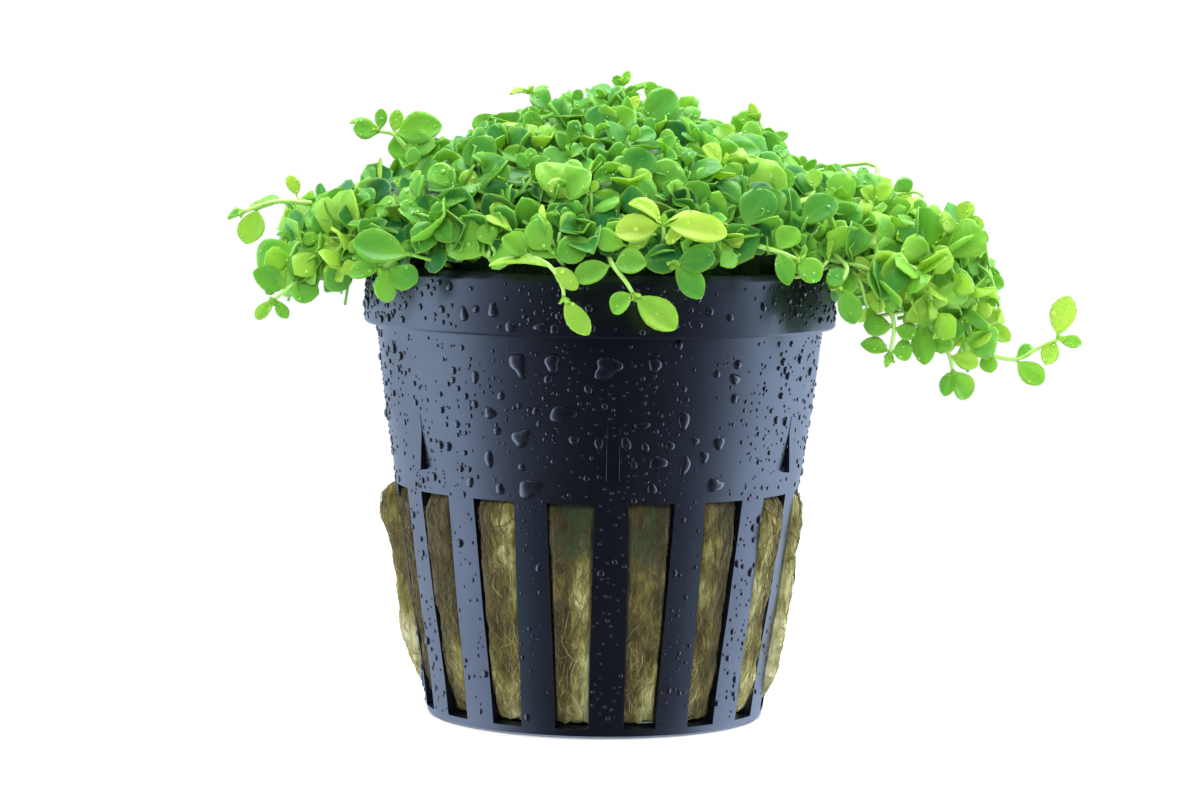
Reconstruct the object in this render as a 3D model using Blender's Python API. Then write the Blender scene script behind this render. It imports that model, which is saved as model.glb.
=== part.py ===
"""Monte carlo carpet plant growing from a rockwool plug in a slotted net pot.

Driving dimensions are in millimetres and become metres through MM. The pot's base is centred on the
origin, +Z is up and -Y is the front. An azimuth is in degrees from the front towards +X.
"""
import math
import random

import bmesh
import bpy
from mathutils import Vector, noise
from mathutils.bvhtree import BVHTree

MM = 0.001
CLEARANCE = 0.35         # gap kept between pieces that touch

# Net pot
POT_HEIGHT = 49.0
POT_WALL = 1.0
RIB_COUNT = 16
RIB_AZIMUTH = 3.94       # the rib nearest the front
RIB_WIDTH_HEAD = 9.4     # degrees, at the slots' upper ends
RIB_WIDTH_FOOT = 11.7    # degrees, at the slots' lower ends
SLOT_FACES = 3           # faces across one slot
SLOT_FOOT = 1.0
SLOT_HEAD = 25.1
BASE_HUB = 6.0           # solid disc in the middle of the base
BASE_SLOT_END = 14.5
BASE_SLOTS = 8
COLLAR_FOOT = 42.5
# Outer profile as radius and height, from the hub to the top of the rim
POT_PROFILE = (
    (BASE_HUB, 0.0),
    (BASE_SLOT_END, 0.0),
    (17.6, 0.0),
    (18.2, SLOT_FOOT),
    (20.15, 12.8),
    (21.84, SLOT_HEAD),
    (23.15, 34.0),
    (24.1, COLLAR_FOOT),
    (25.5, COLLAR_FOOT),
    (25.3, 48.2),
    (25.1, POT_HEIGHT),
)
LUG_COUNT = 6
LUG_WIDTH = 1.4
LUG_FOOT = 27.6
LUG_TOP = 33.6
LUG_REACH_FOOT = 22.95   # radius of the lug's outer face at its foot
LUG_REACH_TOP = 22.75
LUG_ROOT = 21.8          # radius inside the wall that the lug grows from

# Rockwool plug
PLUG_TOP = 46.0
PLUG_NECK = 21.7         # the plug grows no wider than this towards its top
# Height of each ring of the plug, and the share of its slots' bulges there
PLUG_RINGS = (
    (1.5, 0.0),
    (2.6, 0.35),
    (10.0, 1.0),
    (23.6, 0.8),
    (24.7, 0.0),
    (33.4, 0.0),
    (PLUG_TOP, 0.0),
)
PLUG_END_ROUND = 1.0
SLOT_SIDE_GAP = 1.05     # degrees between a rib's side and the wool that bulges past it
SLOT_SHOULDER = 1.9      # degrees from a rib's side to the full bulge
# How far the wool stands out past the wall's inner face in each slot, counted from the slot after
# the front rib. It bulges most on the left and right sides.
SLOT_BULGES = (0.5, 0.6, 0.9, 1.9, 1.2, 0.6, 0.9, 0.5, 0.8, 0.6, 1.1, 2.4, 2.6, 1.0, 0.6, 0.5)

# Leaf mound: azimuth, reach, height of the widest edge, height of the underside
MOUND_EDGES = (
    (0.0, 24.5, 52.2, 50.0),
    (30.0, 25.4, 52.0, 49.9),
    (60.0, 28.8, 51.5, 48.6),
    (90.0, 41.0, 50.8, 46.4),
    (120.0, 37.0, 51.0, 47.0),
    (150.0, 32.0, 51.5, 48.0),
    (180.0, 30.5, 51.5, 48.2),
    (210.0, 31.0, 51.3, 48.0),
    (240.0, 33.0, 51.0, 47.6),
    (270.0, 35.0, 50.8, 47.2),
    (300.0, 30.5, 51.3, 48.2),
    (330.0, 25.6, 52.0, 49.9),
)
MOUND_CROWN = 66.4
MOUND_COLUMNS = 36       # halved twice towards the crown
MOUND_HALVINGS = (0.5, 0.2)
# Share of the reach, and share of the rise from the edge to the crown
MOUND_TOP = ((0.15, 0.95), (0.32, 0.8), (0.49, 0.64), (0.66, 0.49), (0.82, 0.34), (0.94, 0.18))
MOUND_SMOOTH_ROWS = 5    # rings of the underside, which pass the collar
MOUND_JAGS = 1.2         # how far the leafy surface stands in and out
RIM_PASS = 49.6          # underside where the mat passes over the rim
COLLAR_CLEAR = 26.2      # radius where the mat may hang lower than the rim
THROAT = 23.0            # radius of the mat inside the collar
MOUND_FOOT = 46.35
FILL_LEAVES = 112
FILL_SPACING = 3.7
FILL_DEPTH = 1.5         # how far inside the mound a fill leaf starts
FILL_TRIES = 6000
FILL_SEED = 11
MOUND_SEED = 4
SPRIG_ROOM = 3.1         # fill leaves stay this far from the sprigs

# Leaves and stems
LEAF_THICKNESS = 0.5
LEAF_ROOT = 0.25         # how far a blade starts inside its stem
LEAF_OUTLINE = ((0.0, 0.0), (0.32, 0.45), (0.76, 0.46), (1.0, 0.0))
STEM_RADIUS = 0.42
STEM_SIDES = 4
STEM_STEPS = 2           # tube segments between two route points
FRONT = (0.0, -1.0, 0.35)
UP = (0.0, -0.3, 1.0)

# Each sprig is a route for its stem, and leaves. A leaf has the route point that it grows from, the
# way from there to its tip, its width, and the way its upper face looks.
SPRIGS = {
    "runner_left": (
        ((-31, -5, 55.2), (-34.4, -6, 55.4), (-36.7, -6, 54.8), (-38, -6, 54.3)),
        ((2, (-0.7, -0.8, -4.0), 3.0, FRONT),
         (2, (2.0, 0.6, 2.0), 2.0, (-0.4, -0.7, 0.7)),
         (3, (-1.9, 0, -0.8), 1.5, UP)),
    ),
    "sprig_left_low": (
        ((-30.8, -10.4, 47.8), (-33, -11.8, 46.4), (-34.3, -10.8, 45.3)),
        ((2, (-1.9, -0.2, -2.3), 1.4, FRONT),
         (2, (1.0, 0.2, -2.2), 1.4, FRONT),
         (1, (-3.6, -1.2, 1.4), 3.0, FRONT),
         (1, (2.6, -1.5, -2.3), 2.8, FRONT)),
    ),
    "crest_left": (
        ((-20, -4, 60), (-21.2, -4.6, 61.5), (-22.4, -4.6, 62.7), (-23.8, -4.6, 63)),
        ((3, (-2.8, -0.7, 0.2), 2.5, FRONT),
         (3, (-3.4, 0.8, 0.8), 1.8, UP),
         (3, (0.1, 0.3, 2.4), 1.4, FRONT),
         (2, (0.6, 0.2, 2.6), 1.6, FRONT),
         (2, (5.2, -1.0, 0.6), 3.2, FRONT),
         (1, (3.4, -2.4, 0.6), 3.0, FRONT)),
    ),
    "crest_top_left": (
        ((-6.8, 0, 64.5), (-7.4, 0, 66.2), (-7.8, 0, 67.2)),
        ((2, (-2.3, 0.2, 0.6), 2.0, UP),
         (2, (1.8, 0.4, 0.9), 1.4, UP),
         (2, (2.0, -1.6, -1.4), 2.4, FRONT),
         (1, (-2.6, -1.4, 0.2), 2.6, UP)),
    ),
    "crest_top": (
        ((2, 2, 65.5), (2, 2, 67), (2.1, 2, 68.2)),
        ((2, (-1.0, 0, 1.0), 1.2, FRONT),
         (2, (0.7, 0, 1.6), 1.0, FRONT),
         (1, (3.5, -0.5, 1.5), 2.2, UP),
         (1, (-3.4, 0.6, 0.8), 2.6, UP),
         (1, (0.6, 3.2, 0.6), 2.6, UP)),
    ),
    "crest_right": (
        ((20, 2, 60.5), (19, 2, 63.2), (17.3, 2, 65)),
        ((2, (-1.1, 0, 2.0), 1.2, FRONT),
         (2, (-2.3, -0.4, 0.3), 1.9, FRONT),
         (1, (1.9, 0, 1.2), 1.4, FRONT),
         (1, (0.6, 2.6, 0.4), 2.2, UP)),
    ),
    "sprig_pale": (
        ((6.2, -23, 52), (6.4, -25.2, 53), (6.3, -26.2, 54.3)),
        ((2, (-4.9, -1.0, -0.6), 3.0, FRONT),
         (2, (6.4, -0.6, -1.2), 3.2, FRONT),
         (2, (-3.5, 0.8, 2.2), 2.2, (0.3, -0.6, 0.8)),
         (2, (4.0, 0.6, 1.2), 1.5, UP),
         (1, (1.6, -1.8, 0.2), 2.2, FRONT)),
    ),
    "runner_front": (
        ((-10.5, -22.5, 52), (-7.4, -25.3, 51), (-5.1, -26.8, 49.9), (-3.9, -27.4, 48), (-3.7, -27.6, 47)),
        ((2, (-6.2, 0.2, 0.3), 1.6, UP),
         (2, (2.9, -0.6, -2.0), 2.0, FRONT),
         (4, (2.2, -0.4, -4.1), 2.4, FRONT),
         (1, (-2.6, -1.0, 1.8), 2.8, FRONT)),
    ),
    "sprig_front": (
        ((0.8, -23.6, 51), (1.2, -26.4, 50.2), (2.5, -27.4, 48.6), (3.3, -27.8, 47.4)),
        ((3, (-2.2, -0.3, -1.8), 2.2, FRONT),
         (3, (4.2, -0.5, -3.8), 3.4, FRONT),
         (1, (-3.7, -0.6, -1.8), 2.6, FRONT),
         (1, (3.4, -1.2, 0.4), 2.8, FRONT)),
    ),
    "sprig_front_right": (
        ((7.4, -23, 51.6), (7.4, -26, 50.4)),
        ((1, (3.0, -0.8, -3.4), 2.8, FRONT),
         (1, (4.2, -0.8, 0.4), 3.0, FRONT)),
    ),
    "sprig_rim_left": (
        ((-19, -16, 51), (-21.2, -19, 50.1), (-22.4, -19.6, 49.2)),
        ((2, (0, -0.4, -3.6), 2.4, FRONT),
         (2, (3.4, -1.6, -1.4), 3.0, FRONT),
         (2, (-3.6, 0.2, -0.6), 2.0, FRONT)),
    ),
    "sprig_rim_right": (
        ((15, -20, 52.3), (18.1, -21.8, 51.6), (20, -22.4, 50.9)),
        ((2, (2.6, -0.7, -2.0), 2.7, FRONT),
         (1, (1.7, 0.4, 2.6), 2.8, FRONT),
         (1, (1.6, -1.4, -3.2), 2.2, FRONT)),
    ),
    "sprig_rim_corner": (
        ((24, -13.5, 51.4), (25.8, -17.2, 49.8)),
        ((1, (1.4, -0.9, -4.8), 2.8, FRONT),
         (1, (-2.0, -1.6, -1.6), 2.0, FRONT)),
    ),
    "runner_right_inner": (
        ((26, -11, 50.3), (28.6, -14, 48.4), (30.2, -14, 46), (30.9, -13.6, 43.4), (30.6, -13.2, 40.8)),
        ((1, (4.2, -0.6, 0.8), 3.0, FRONT),
         (1, (-1.6, -0.8, 2.6), 1.5, FRONT),
         (3, (-3.2, -0.6, 0.2), 2.4, FRONT),
         (4, (-3.1, -0.3, 1.0), 1.9, FRONT),
         (4, (1.8, 0.2, 0.2), 1.9, FRONT),
         (4, (-0.6, -0.6, -1.6), 1.4, FRONT)),
    ),
    "runner_right_hanging": (
        ((32, -8.5, 48), (34.1, -10, 44.3), (35.9, -10, 42.2), (37.1, -9.6, 40.3), (37.5, -9.4, 38.8)),
        ((1, (0.4, -0.6, -5.2), 2.4, FRONT),
         (2, (2.6, 0.6, 1.4), 2.4, FRONT),
         (3, (3.0, -0.4, -1.2), 2.2, FRONT),
         (4, (-1.0, -0.5, -2.8), 1.8, FRONT),
         (4, (1.9, 0.2, -3.0), 2.6, FRONT)),
    ),
    "runner_right": (
        ((38, -3, 47.5), (39.4, -4.4, 43), (41.3, -5.4, 40.4), (44.5, -6, 39.7), (46.7, -6, 40.8), (48.9, -6, 41.9)),
        ((2, (0.5, -0.6, -2.2), 2.0, FRONT),
         (3, (2.6, -0.4, -2.8), 2.6, FRONT),
         (3, (0.6, 0.6, 2.0), 1.5, FRONT),
         (4, (0.8, -0.9, -2.0), 2.2, FRONT),
         (5, (0.8, 0, 4.7), 2.9, FRONT),
         (5, (2.6, 0, -0.6), 1.5, FRONT)),
    ),
    "sprig_right_tip": (
        ((36.5, -3, 54.8), (39.2, -4, 55.2)),
        ((1, (0.4, 0.2, 2.2), 2.2, FRONT),
         (1, (2.6, -0.4, -0.9), 2.4, FRONT),
         (1, (-2.4, -2.2, 0.4), 2.6, FRONT)),
    ),
    "sprig_right_edge": (
        ((39.5, -1.6, 52.4), (42, -2.4, 51.8), (43, -2.4, 50), (42.8, -2.4, 48)),
        ((1, (0.6, -0.4, 1.6), 1.5, FRONT),
         (1, (-0.6, -2.4, -0.6), 1.9, FRONT),
         (3, (2.2, 0, -0.8), 1.9, FRONT),
         (3, (0.6, -0.5, -3.6), 2.4, FRONT)),
    ),
    "runner_back": (
        ((7, 28, 53.5), (8.5, 32, 53.2), (9.5, 34.6, 51.8), (10, 36, 49.6)),
        ((1, (2.8, 1.2, 1.8), 2.8, (0.3, 0.6, 1)),
         (1, (-3.0, 1.2, 1.4), 2.8, (-0.3, 0.6, 1)),
         (3, (2.8, 0.8, -1.4), 2.4, (0.2, 1, 0.4)),
         (3, (-2.6, 0.8, -1.8), 2.4, (-0.2, 1, 0.4)),
         (3, (0.4, 0.6, -3.2), 2.0, (0, 1, 0.3))),
    ),
    "sprig_back_left": (
        ((-22, 20, 51.5), (-25.6, 23.4, 50.8), (-27.4, 25, 48.8)),
        ((1, (-3.4, -0.6, 1.6), 2.8, (-0.5, 0.4, 1)),
         (1, (0.8, 3.6, 1.0), 2.8, (0, 0.6, 1)),
         (2, (-2.2, 0.8, -2.6), 2.6, (-0.7, 0.7, 0.4)),
         (2, (1.6, 1.6, -2.4), 2.4, (-0.3, 1, 0.4))),
    ),
    "sprig_back_right": (
        ((24, 20, 52), (28, 24.4, 51.2), (29.6, 26, 49.6)),
        ((1, (3.4, -1.0, 1.4), 2.8, (0.5, 0.3, 1)),
         (1, (-1.6, 3.2, 1.0), 2.8, (0, 0.6, 1)),
         (2, (2.6, 0.4, -2.4), 2.6, (0.7, 0.6, 0.4)),
         (2, (-0.8, 1.8, -2.8), 2.4, (0.2, 1, 0.4))),
    ),
}


def clear_scene():
    for obj in list(bpy.data.objects):
        bpy.data.objects.remove(obj, do_unlink=True)


def at(azimuth, radius, height):
    """A point at an azimuth in degrees, in metres."""
    angle = math.radians(azimuth)
    return Vector((radius * math.sin(angle), -radius * math.cos(angle), height)) * MM


def metres(point):
    return Vector(point) * MM


def material(name, colour, roughness):
    made = bpy.data.materials.new(name)
    made.use_nodes = True
    shader = made.node_tree.nodes["Principled BSDF"]
    shader.inputs["Base Color"].default_value = (*colour, 1.0)
    shader.inputs["Roughness"].default_value = roughness
    shader.inputs["Metallic"].default_value = 0.0
    return made


def add_object(name, bm, finish=None, smooth_angle=None):
    mesh = bpy.data.meshes.new(name)
    bm.to_mesh(mesh)
    bm.free()
    obj = bpy.data.objects.new(name, mesh)
    bpy.context.scene.collection.objects.link(obj)
    if finish:
        mesh.materials.append(finish)
    if smooth_angle:
        mesh.shade_smooth()
        mesh.set_sharp_from_angle(angle=math.radians(smooth_angle))
    return obj


def profile_radius(profile, height):
    """Radius of a (radius, height) profile at a height."""
    for (r0, z0), (r1, z1) in zip(profile, profile[1:]):
        if z0 <= height <= z1 and z1 > z0:
            return r0 + (r1 - r0) * (height - z0) / (z1 - z0)
    return profile[-1][0]


def rib_half_width(height):
    """Half of a rib's width in degrees at a height."""
    share = min(max((height - SLOT_FOOT) / (SLOT_HEAD - SLOT_FOOT), 0.0), 1.0)
    return (RIB_WIDTH_FOOT + (RIB_WIDTH_HEAD - RIB_WIDTH_FOOT) * share) / 2


def pot_azimuths(height):
    """Azimuths of the pot's columns: both sides of each rib, and the lines across each slot."""
    pitch = 360.0 / RIB_COUNT
    half = rib_half_width(height)
    slot_width = pitch - 2 * half
    azimuths = []
    for rib in range(RIB_COUNT):
        centre = RIB_AZIMUTH + rib * pitch
        azimuths.append(centre - half)
        azimuths += [centre + half + slot_width * line / SLOT_FACES for line in range(SLOT_FACES)]
    return azimuths


def pot_shell():
    """The pot's outer skin, with its slots left open, as rings from the hub to the rim."""
    bm = bmesh.new()
    columns = RIB_COUNT * (SLOT_FACES + 1)
    rings = []
    for radius, height in POT_PROFILE:
        rings.append([bm.verts.new(at(a, radius, height)) for a in pot_azimuths(height)])
    hub = bm.verts.new((0, 0, 0))
    for column in range(columns):
        after = (column + 1) % columns
        bm.faces.new((hub, rings[0][after], rings[0][column]))
    for row, (lower, upper) in enumerate(zip(rings, rings[1:])):
        foot, head = POT_PROFILE[row][1], POT_PROFILE[row + 1][1]
        in_cage = SLOT_FOOT <= foot and head <= SLOT_HEAD
        in_base = row == 0
        for column in range(columns):
            is_rib = column % (SLOT_FACES + 1) == 0
            is_drain = column % (columns // BASE_SLOTS) in (2, 3, 4)
            if in_cage and not is_rib or in_base and is_drain:
                continue
            after = (column + 1) % columns
            bm.faces.new((lower[column], lower[after], upper[after], upper[column]))
    return bm


def lug(index):
    """One wedge on the wall: flush at its top, and cut flat at its foot."""
    bm = bmesh.new()
    azimuth = RIB_AZIMUTH + index * 360.0 / LUG_COUNT
    side = Vector((math.cos(math.radians(azimuth)), math.sin(math.radians(azimuth)), 0.0))
    section = (
        (LUG_ROOT, LUG_FOOT),
        (LUG_REACH_FOOT, LUG_FOOT),
        (LUG_REACH_TOP, LUG_TOP),
        (LUG_ROOT + 0.4, LUG_TOP),
    )
    corners = [at(azimuth, radius, height) for radius, height in section]
    face = bm.faces.new([bm.verts.new(p - side * LUG_WIDTH * MM / 2) for p in corners])
    grown = bmesh.ops.extrude_face_region(bm, geom=[face])
    moved = [item for item in grown["geom"] if isinstance(item, bmesh.types.BMVert)]
    bmesh.ops.translate(bm, verts=moved, vec=side * LUG_WIDTH * MM)
    bmesh.ops.recalc_face_normals(bm, faces=bm.faces)
    return add_object(f"lug_guide_{index}", bm)


def fuse(body, others):
    """Join the other objects to the body with one Boolean union, and delete them."""
    group = bpy.data.collections.new(body.name + "_parts")
    for other in others:
        group.objects.link(other)
    union = body.modifiers.new("fuse", "BOOLEAN")
    union.operation = "UNION"
    union.operand_type = "COLLECTION"
    union.collection = group
    union.use_self = True
    depsgraph = bpy.context.evaluated_depsgraph_get()
    fused = bpy.data.meshes.new_from_object(body.evaluated_get(depsgraph))
    body.modifiers.clear()
    body.data = fused
    for other in others:
        bpy.data.objects.remove(other, do_unlink=True)
    bpy.data.collections.remove(group)
    return body


def make_pot():
    plastic = material("black_plastic", (0.012, 0.013, 0.022), 0.32)
    pot = add_object("net_pot", pot_shell(), plastic)
    wall = pot.modifiers.new("wall", "SOLIDIFY")
    wall.thickness = POT_WALL * MM
    wall.offset = -1.0
    wall.use_even_offset = True
    fuse(pot, [lug(index) for index in range(LUG_COUNT)])
    pot.data.shade_smooth()
    pot.data.set_sharp_from_angle(angle=math.radians(30))
    return pot


def plug_ring(height, bulge, shrink):
    """One ring of the plug: behind each rib, and out through each slot where the cage is open."""
    pitch = 360.0 / RIB_COUNT
    half = rib_half_width(height)
    wall_inside = profile_radius(POT_PROFILE, height) - POT_WALL - CLEARANCE
    inside = min(wall_inside, PLUG_NECK) - shrink
    ring = []
    for rib in range(RIB_COUNT):
        centre = RIB_AZIMUTH + rib * pitch
        after = centre + pitch
        wave = 0.2 * noise.noise(Vector((rib * 1.7, height * 0.16, 3.0)))
        reach = inside + bulge * (CLEARANCE + SLOT_BULGES[rib] + wave)
        ring.append(at(centre, inside, height))
        ring.append(at(centre + half + SLOT_SIDE_GAP, inside, height))
        ring.append(at(centre + half + SLOT_SHOULDER, reach, height))
        ring.append(at(after - half - SLOT_SHOULDER, reach, height))
        ring.append(at(after - half - SLOT_SIDE_GAP, inside, height))
    return ring


def make_plug():
    wool = material("rockwool", (0.34, 0.27, 0.09), 0.95)
    bm = bmesh.new()
    rings = []
    for height, bulge in PLUG_RINGS:
        is_end = height in (PLUG_RINGS[0][0], PLUG_TOP)
        shrink = PLUG_END_ROUND if is_end else 0.0
        rings.append([bm.verts.new(point) for point in plug_ring(height, bulge, shrink)])
    close_rings(bm, rings)
    return add_object("rockwool_plug", bm, wool)


def skin(bm, lower, upper):
    """Faces between two rings with the same count of points, or with half as many in the upper."""
    count = len(lower)
    ratio = count // len(upper)
    for column in range(0, count, ratio):
        here = upper[column // ratio]
        after = upper[(column // ratio + 1) % len(upper)]
        ends = [lower[(column + step) % count] for step in range(ratio + 1)]
        if ratio == 1:
            bm.faces.new((ends[0], ends[1], after, here))
        else:
            bm.faces.new((ends[0], ends[1], here))
            bm.faces.new((ends[1], after, here))
            bm.faces.new((ends[1], ends[2], after))


def close_rings(bm, rings):
    """Skin a stack of rings, from the lowest to the highest, and fill both ends."""
    for lower, upper in zip(rings, rings[1:]):
        skin(bm, lower, upper)
    for ring, turn in ((rings[0], 1), (rings[-1], -1)):
        middle = bm.verts.new(sum((v.co for v in ring), Vector()) / len(ring))
        for here, after in zip(ring, ring[1:] + ring[:1]):
            bm.faces.new((middle, after, here)[::turn])
    bmesh.ops.recalc_face_normals(bm, faces=bm.faces)


def mound_edge(azimuth):
    """Reach, edge height and underside of the mound at any azimuth, smoothly between the listed ones."""
    step = 360.0 / len(MOUND_EDGES)
    place = (azimuth % 360.0) / step
    index = int(place)
    share = (1 - math.cos(math.pi * (place - index))) / 2
    here, there = MOUND_EDGES[index], MOUND_EDGES[(index + 1) % len(MOUND_EDGES)]
    return tuple(a + (b - a) * share for a, b in zip(here[1:], there[1:]))


def mound_section(azimuth):
    """Radii and heights of the mound from its foot, round its edge, to just below the crown."""
    reach, edge, under = mound_edge(azimuth)
    section = [
        (min(THROAT, reach - 2.5), MOUND_FOOT),
        (min(THROAT + 0.4, reach - 2.2), RIM_PASS),
        (min(COLLAR_CLEAR, reach - 1.8), RIM_PASS),
        (min(COLLAR_CLEAR + 0.3, reach - 1.5), min(under + 0.6, RIM_PASS)),
        (reach - 1.2, under),
        (reach, edge),
    ]
    section += [(share * reach, edge + (MOUND_CROWN - edge) * rise) for share, rise in reversed(MOUND_TOP)]
    return section


def mound_body():
    """The mat as one solid, jagged at the scale of its leaves where it isn't over the collar."""
    bm = bmesh.new()
    rng = random.Random(MOUND_SEED)
    rings = []
    for row in range(len(mound_section(0.0))):
        reach_share = mound_section(0.0)[row][0] / mound_edge(0.0)[0]
        is_leafy = row >= MOUND_SMOOTH_ROWS
        halvings = sum(is_leafy and reach_share < limit for limit in MOUND_HALVINGS)
        columns = MOUND_COLUMNS // 2 ** halvings
        jag = MOUND_JAGS if is_leafy else 0.0
        ring = []
        for column in range(columns):
            azimuth = 360.0 * column / columns
            radius, height = mound_section(azimuth)[row]
            radius += rng.uniform(-jag, jag * 0.4)
            height += rng.uniform(-jag, jag) * 0.8
            ring.append(bm.verts.new(at(azimuth, radius, height)))
        rings.append(ring)
    close_rings(bm, rings)
    bm.verts.ensure_lookup_table()
    bm.verts[-1].co.z = MOUND_CROWN * MM
    return bm


def mound_surface(azimuth, share):
    """A point on the upper side of the mound and the outward normal there."""
    def surface(a, s):
        reach, edge, under = mound_edge(a)
        line = [(0.0, 1.0), *MOUND_TOP, (1.0, 0.0)]
        for (s0, h0), (s1, h1) in zip(line, line[1:]):
            if s <= s1:
                rise = h0 + (h1 - h0) * (s - s0) / (s1 - s0)
                return at(a, s * reach, edge + (MOUND_CROWN - edge) * rise)
        return at(a, reach, edge)
    point = surface(azimuth, share)
    along = surface(azimuth, min(share + 0.06, 1.0)) - surface(azimuth, max(share - 0.06, 0.0))
    around = at(azimuth + 90.0, 1.0, 0.0)
    normal = around.cross(along).normalized()
    return point, normal if normal.z > 0 else -normal


def leaf_points(base, tip, width, facing):
    """Rim points of one blade, and the middles of its upper and lower faces."""
    along = tip - base
    side = Vector(facing).cross(along).normalized()
    normal = along.cross(side).normalized()
    rim = [base + along * s + side * w * width for s, w in LEAF_OUTLINE]
    rim += [base + along * s - side * w * width for s, w in reversed(LEAF_OUTLINE[1:-1])]
    middle = base + along * 0.5
    lift = normal * LEAF_THICKNESS * MM / 2
    return rim, middle + lift, middle - lift


def add_leaf(name, base, tip, width, facing):
    """One blade as a closed lens."""
    rim, above, below = leaf_points(base, tip, width, facing)
    bm = bmesh.new()
    verts = [bm.verts.new(p) for p in rim]
    top = bm.verts.new(above)
    bottom = bm.verts.new(below)
    for here, after in zip(verts, verts[1:] + verts[:1]):
        bm.faces.new((here, after, top))
        bm.faces.new((after, here, bottom))
    bmesh.ops.recalc_face_normals(bm, faces=bm.faces)
    return add_object(name, bm)


def smooth_route(points, steps):
    """A Catmull-Rom line through the points."""
    ends = [points[0] * 2 - points[1], *points, points[-1] * 2 - points[-2]]
    line = []
    for p0, p1, p2, p3 in zip(ends, ends[1:], ends[2:], ends[3:]):
        for step in range(steps):
            t = step / steps
            line.append(0.5 * ((2 * p1) + (p2 - p0) * t + (2 * p0 - 5 * p1 + 4 * p2 - p3) * t * t
                               + (3 * p1 - p0 - 3 * p2 + p3) * t ** 3))
    return line + [points[-1]]


def stem_bmesh(line):
    """A tube along a line, closed at both ends."""
    bm = bmesh.new()
    rings = []
    guide = Vector((0.31, 0.22, 0.93))
    for index, point in enumerate(line):
        along = line[min(index + 1, len(line) - 1)] - line[max(index - 1, 0)]
        side = along.cross(guide).normalized()
        other = along.cross(side).normalized()
        taper = 1.0 - 0.25 * index / len(line)
        ring = []
        for corner in range(STEM_SIDES):
            angle = 2 * math.pi * corner / STEM_SIDES
            offset = (side * math.cos(angle) + other * math.sin(angle)) * STEM_RADIUS * MM * taper
            ring.append(bm.verts.new(point + offset))
        rings.append(ring)
    close_rings(bm, rings)
    return bm


def sprig_leaves(name):
    """Base, tip, width and facing of each leaf on a sprig, in metres."""
    route, leaves = SPRIGS[name]
    for index, way, width, facing in leaves:
        joint = metres(route[index])
        along = metres(way)
        yield joint - along.normalized() * LEAF_ROOT * MM, joint + along, width * MM, facing


def sprig_cloud():
    """Points on all the sprigs, which the fill leaves keep away from."""
    cloud = []
    for name, (route, leaves) in SPRIGS.items():
        cloud += smooth_route([metres(p) for p in route], STEM_STEPS)
        for base, tip, width, facing in sprig_leaves(name):
            rim, above, below = leaf_points(base, tip, width, facing)
            cloud += rim + [above]
    return cloud


def fill_leaves(cloud):
    """Leaves spread over the mound, each half out of it."""
    rng = random.Random(FILL_SEED)
    bases = []
    leaves = []
    for attempt in range(FILL_TRIES):
        if len(leaves) == FILL_LEAVES:
            break
        azimuth = rng.uniform(0.0, 360.0)
        share = math.sqrt(rng.uniform(0.0, 1.0))
        point, normal = mound_surface(azimuth, share)
        outward = at(azimuth, 1.0, 0.0).normalized()
        swing = Vector((rng.uniform(-1, 1), rng.uniform(-1, 1), rng.uniform(-0.4, 0.6)))
        away = (outward * 0.5 + swing - normal * swing.dot(normal) * 0.6).normalized()
        way = (away + normal * rng.uniform(0.25, 0.7)).normalized()
        if share > 0.95:
            way = (outward + swing * 0.6 + Vector((0, 0, -0.5))).normalized()
        base = point - normal * FILL_DEPTH * MM
        tip = base + way * rng.uniform(5.2, 6.4) * MM
        facing = normal + Vector((rng.uniform(-0.5, 0.5), rng.uniform(-0.5, 0.5), 0.2))
        near_rim = tip.z < 50.5 * MM and math.hypot(tip.x, tip.y) < 28.5 * MM
        too_near = any((base - other).length < FILL_SPACING * MM for other in bases)
        crowded = any((q - p).length < SPRIG_ROOM * MM for p in (base, tip, (base + tip) / 2) for q in cloud)
        if too_near or crowded or near_rim:
            continue
        bases.append(base)
        leaves.append((base, tip, rng.uniform(3.6, 4.6) * MM, facing))
    return leaves


def make_mound():
    leaf_green = material("leaf_green", (0.09, 0.42, 0.045), 0.4)
    mound = add_object("leaf_mound", mound_body(), leaf_green)
    leaves = [
        add_leaf(f"fill_{index}", *leaf)
        for index, leaf in enumerate(fill_leaves(sprig_cloud()))
    ]
    return fuse(mound, leaves)


def clear_of(tree, point, room):
    """Whether a point is outside a closed mesh by at least the given room."""
    place, normal, index, distance = tree.find_nearest(point)
    return distance > room and (point - place).dot(normal) > 0


def make_sprig(name, tree, finish):
    """A stem from where it leaves the mound, with its leaves fused to it."""
    route = SPRIGS[name][0]
    line = smooth_route([metres(p) for p in route], STEM_STEPS * 4)
    room = (STEM_RADIUS + CLEARANCE) * MM
    first = next(index for index, point in enumerate(line) if clear_of(tree, point, room))
    kept = line[first:-1:4] + [line[-1]]
    if len(kept) > 2 and (kept[-1] - kept[-2]).length < 0.5 * STEM_RADIUS * MM:
        del kept[-2]
    stem = add_object(name, stem_bmesh(kept), finish)
    leaves = [
        add_leaf(f"{name}_leaf_{index}", *leaf)
        for index, leaf in enumerate(sprig_leaves(name))
    ]
    return fuse(stem, leaves)


def build():
    clear_scene()
    make_pot()
    make_plug()
    mound = make_mound()
    sprig_green = material("sprig_green", (0.16, 0.5, 0.05), 0.4)
    tree = BVHTree.FromPolygons(
        [v.co.copy() for v in mound.data.vertices],
        [tuple(p.vertices) for p in mound.data.polygons],
    )
    for name in SPRIGS:
        make_sprig(name, tree, sprig_green)


build()
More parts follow.
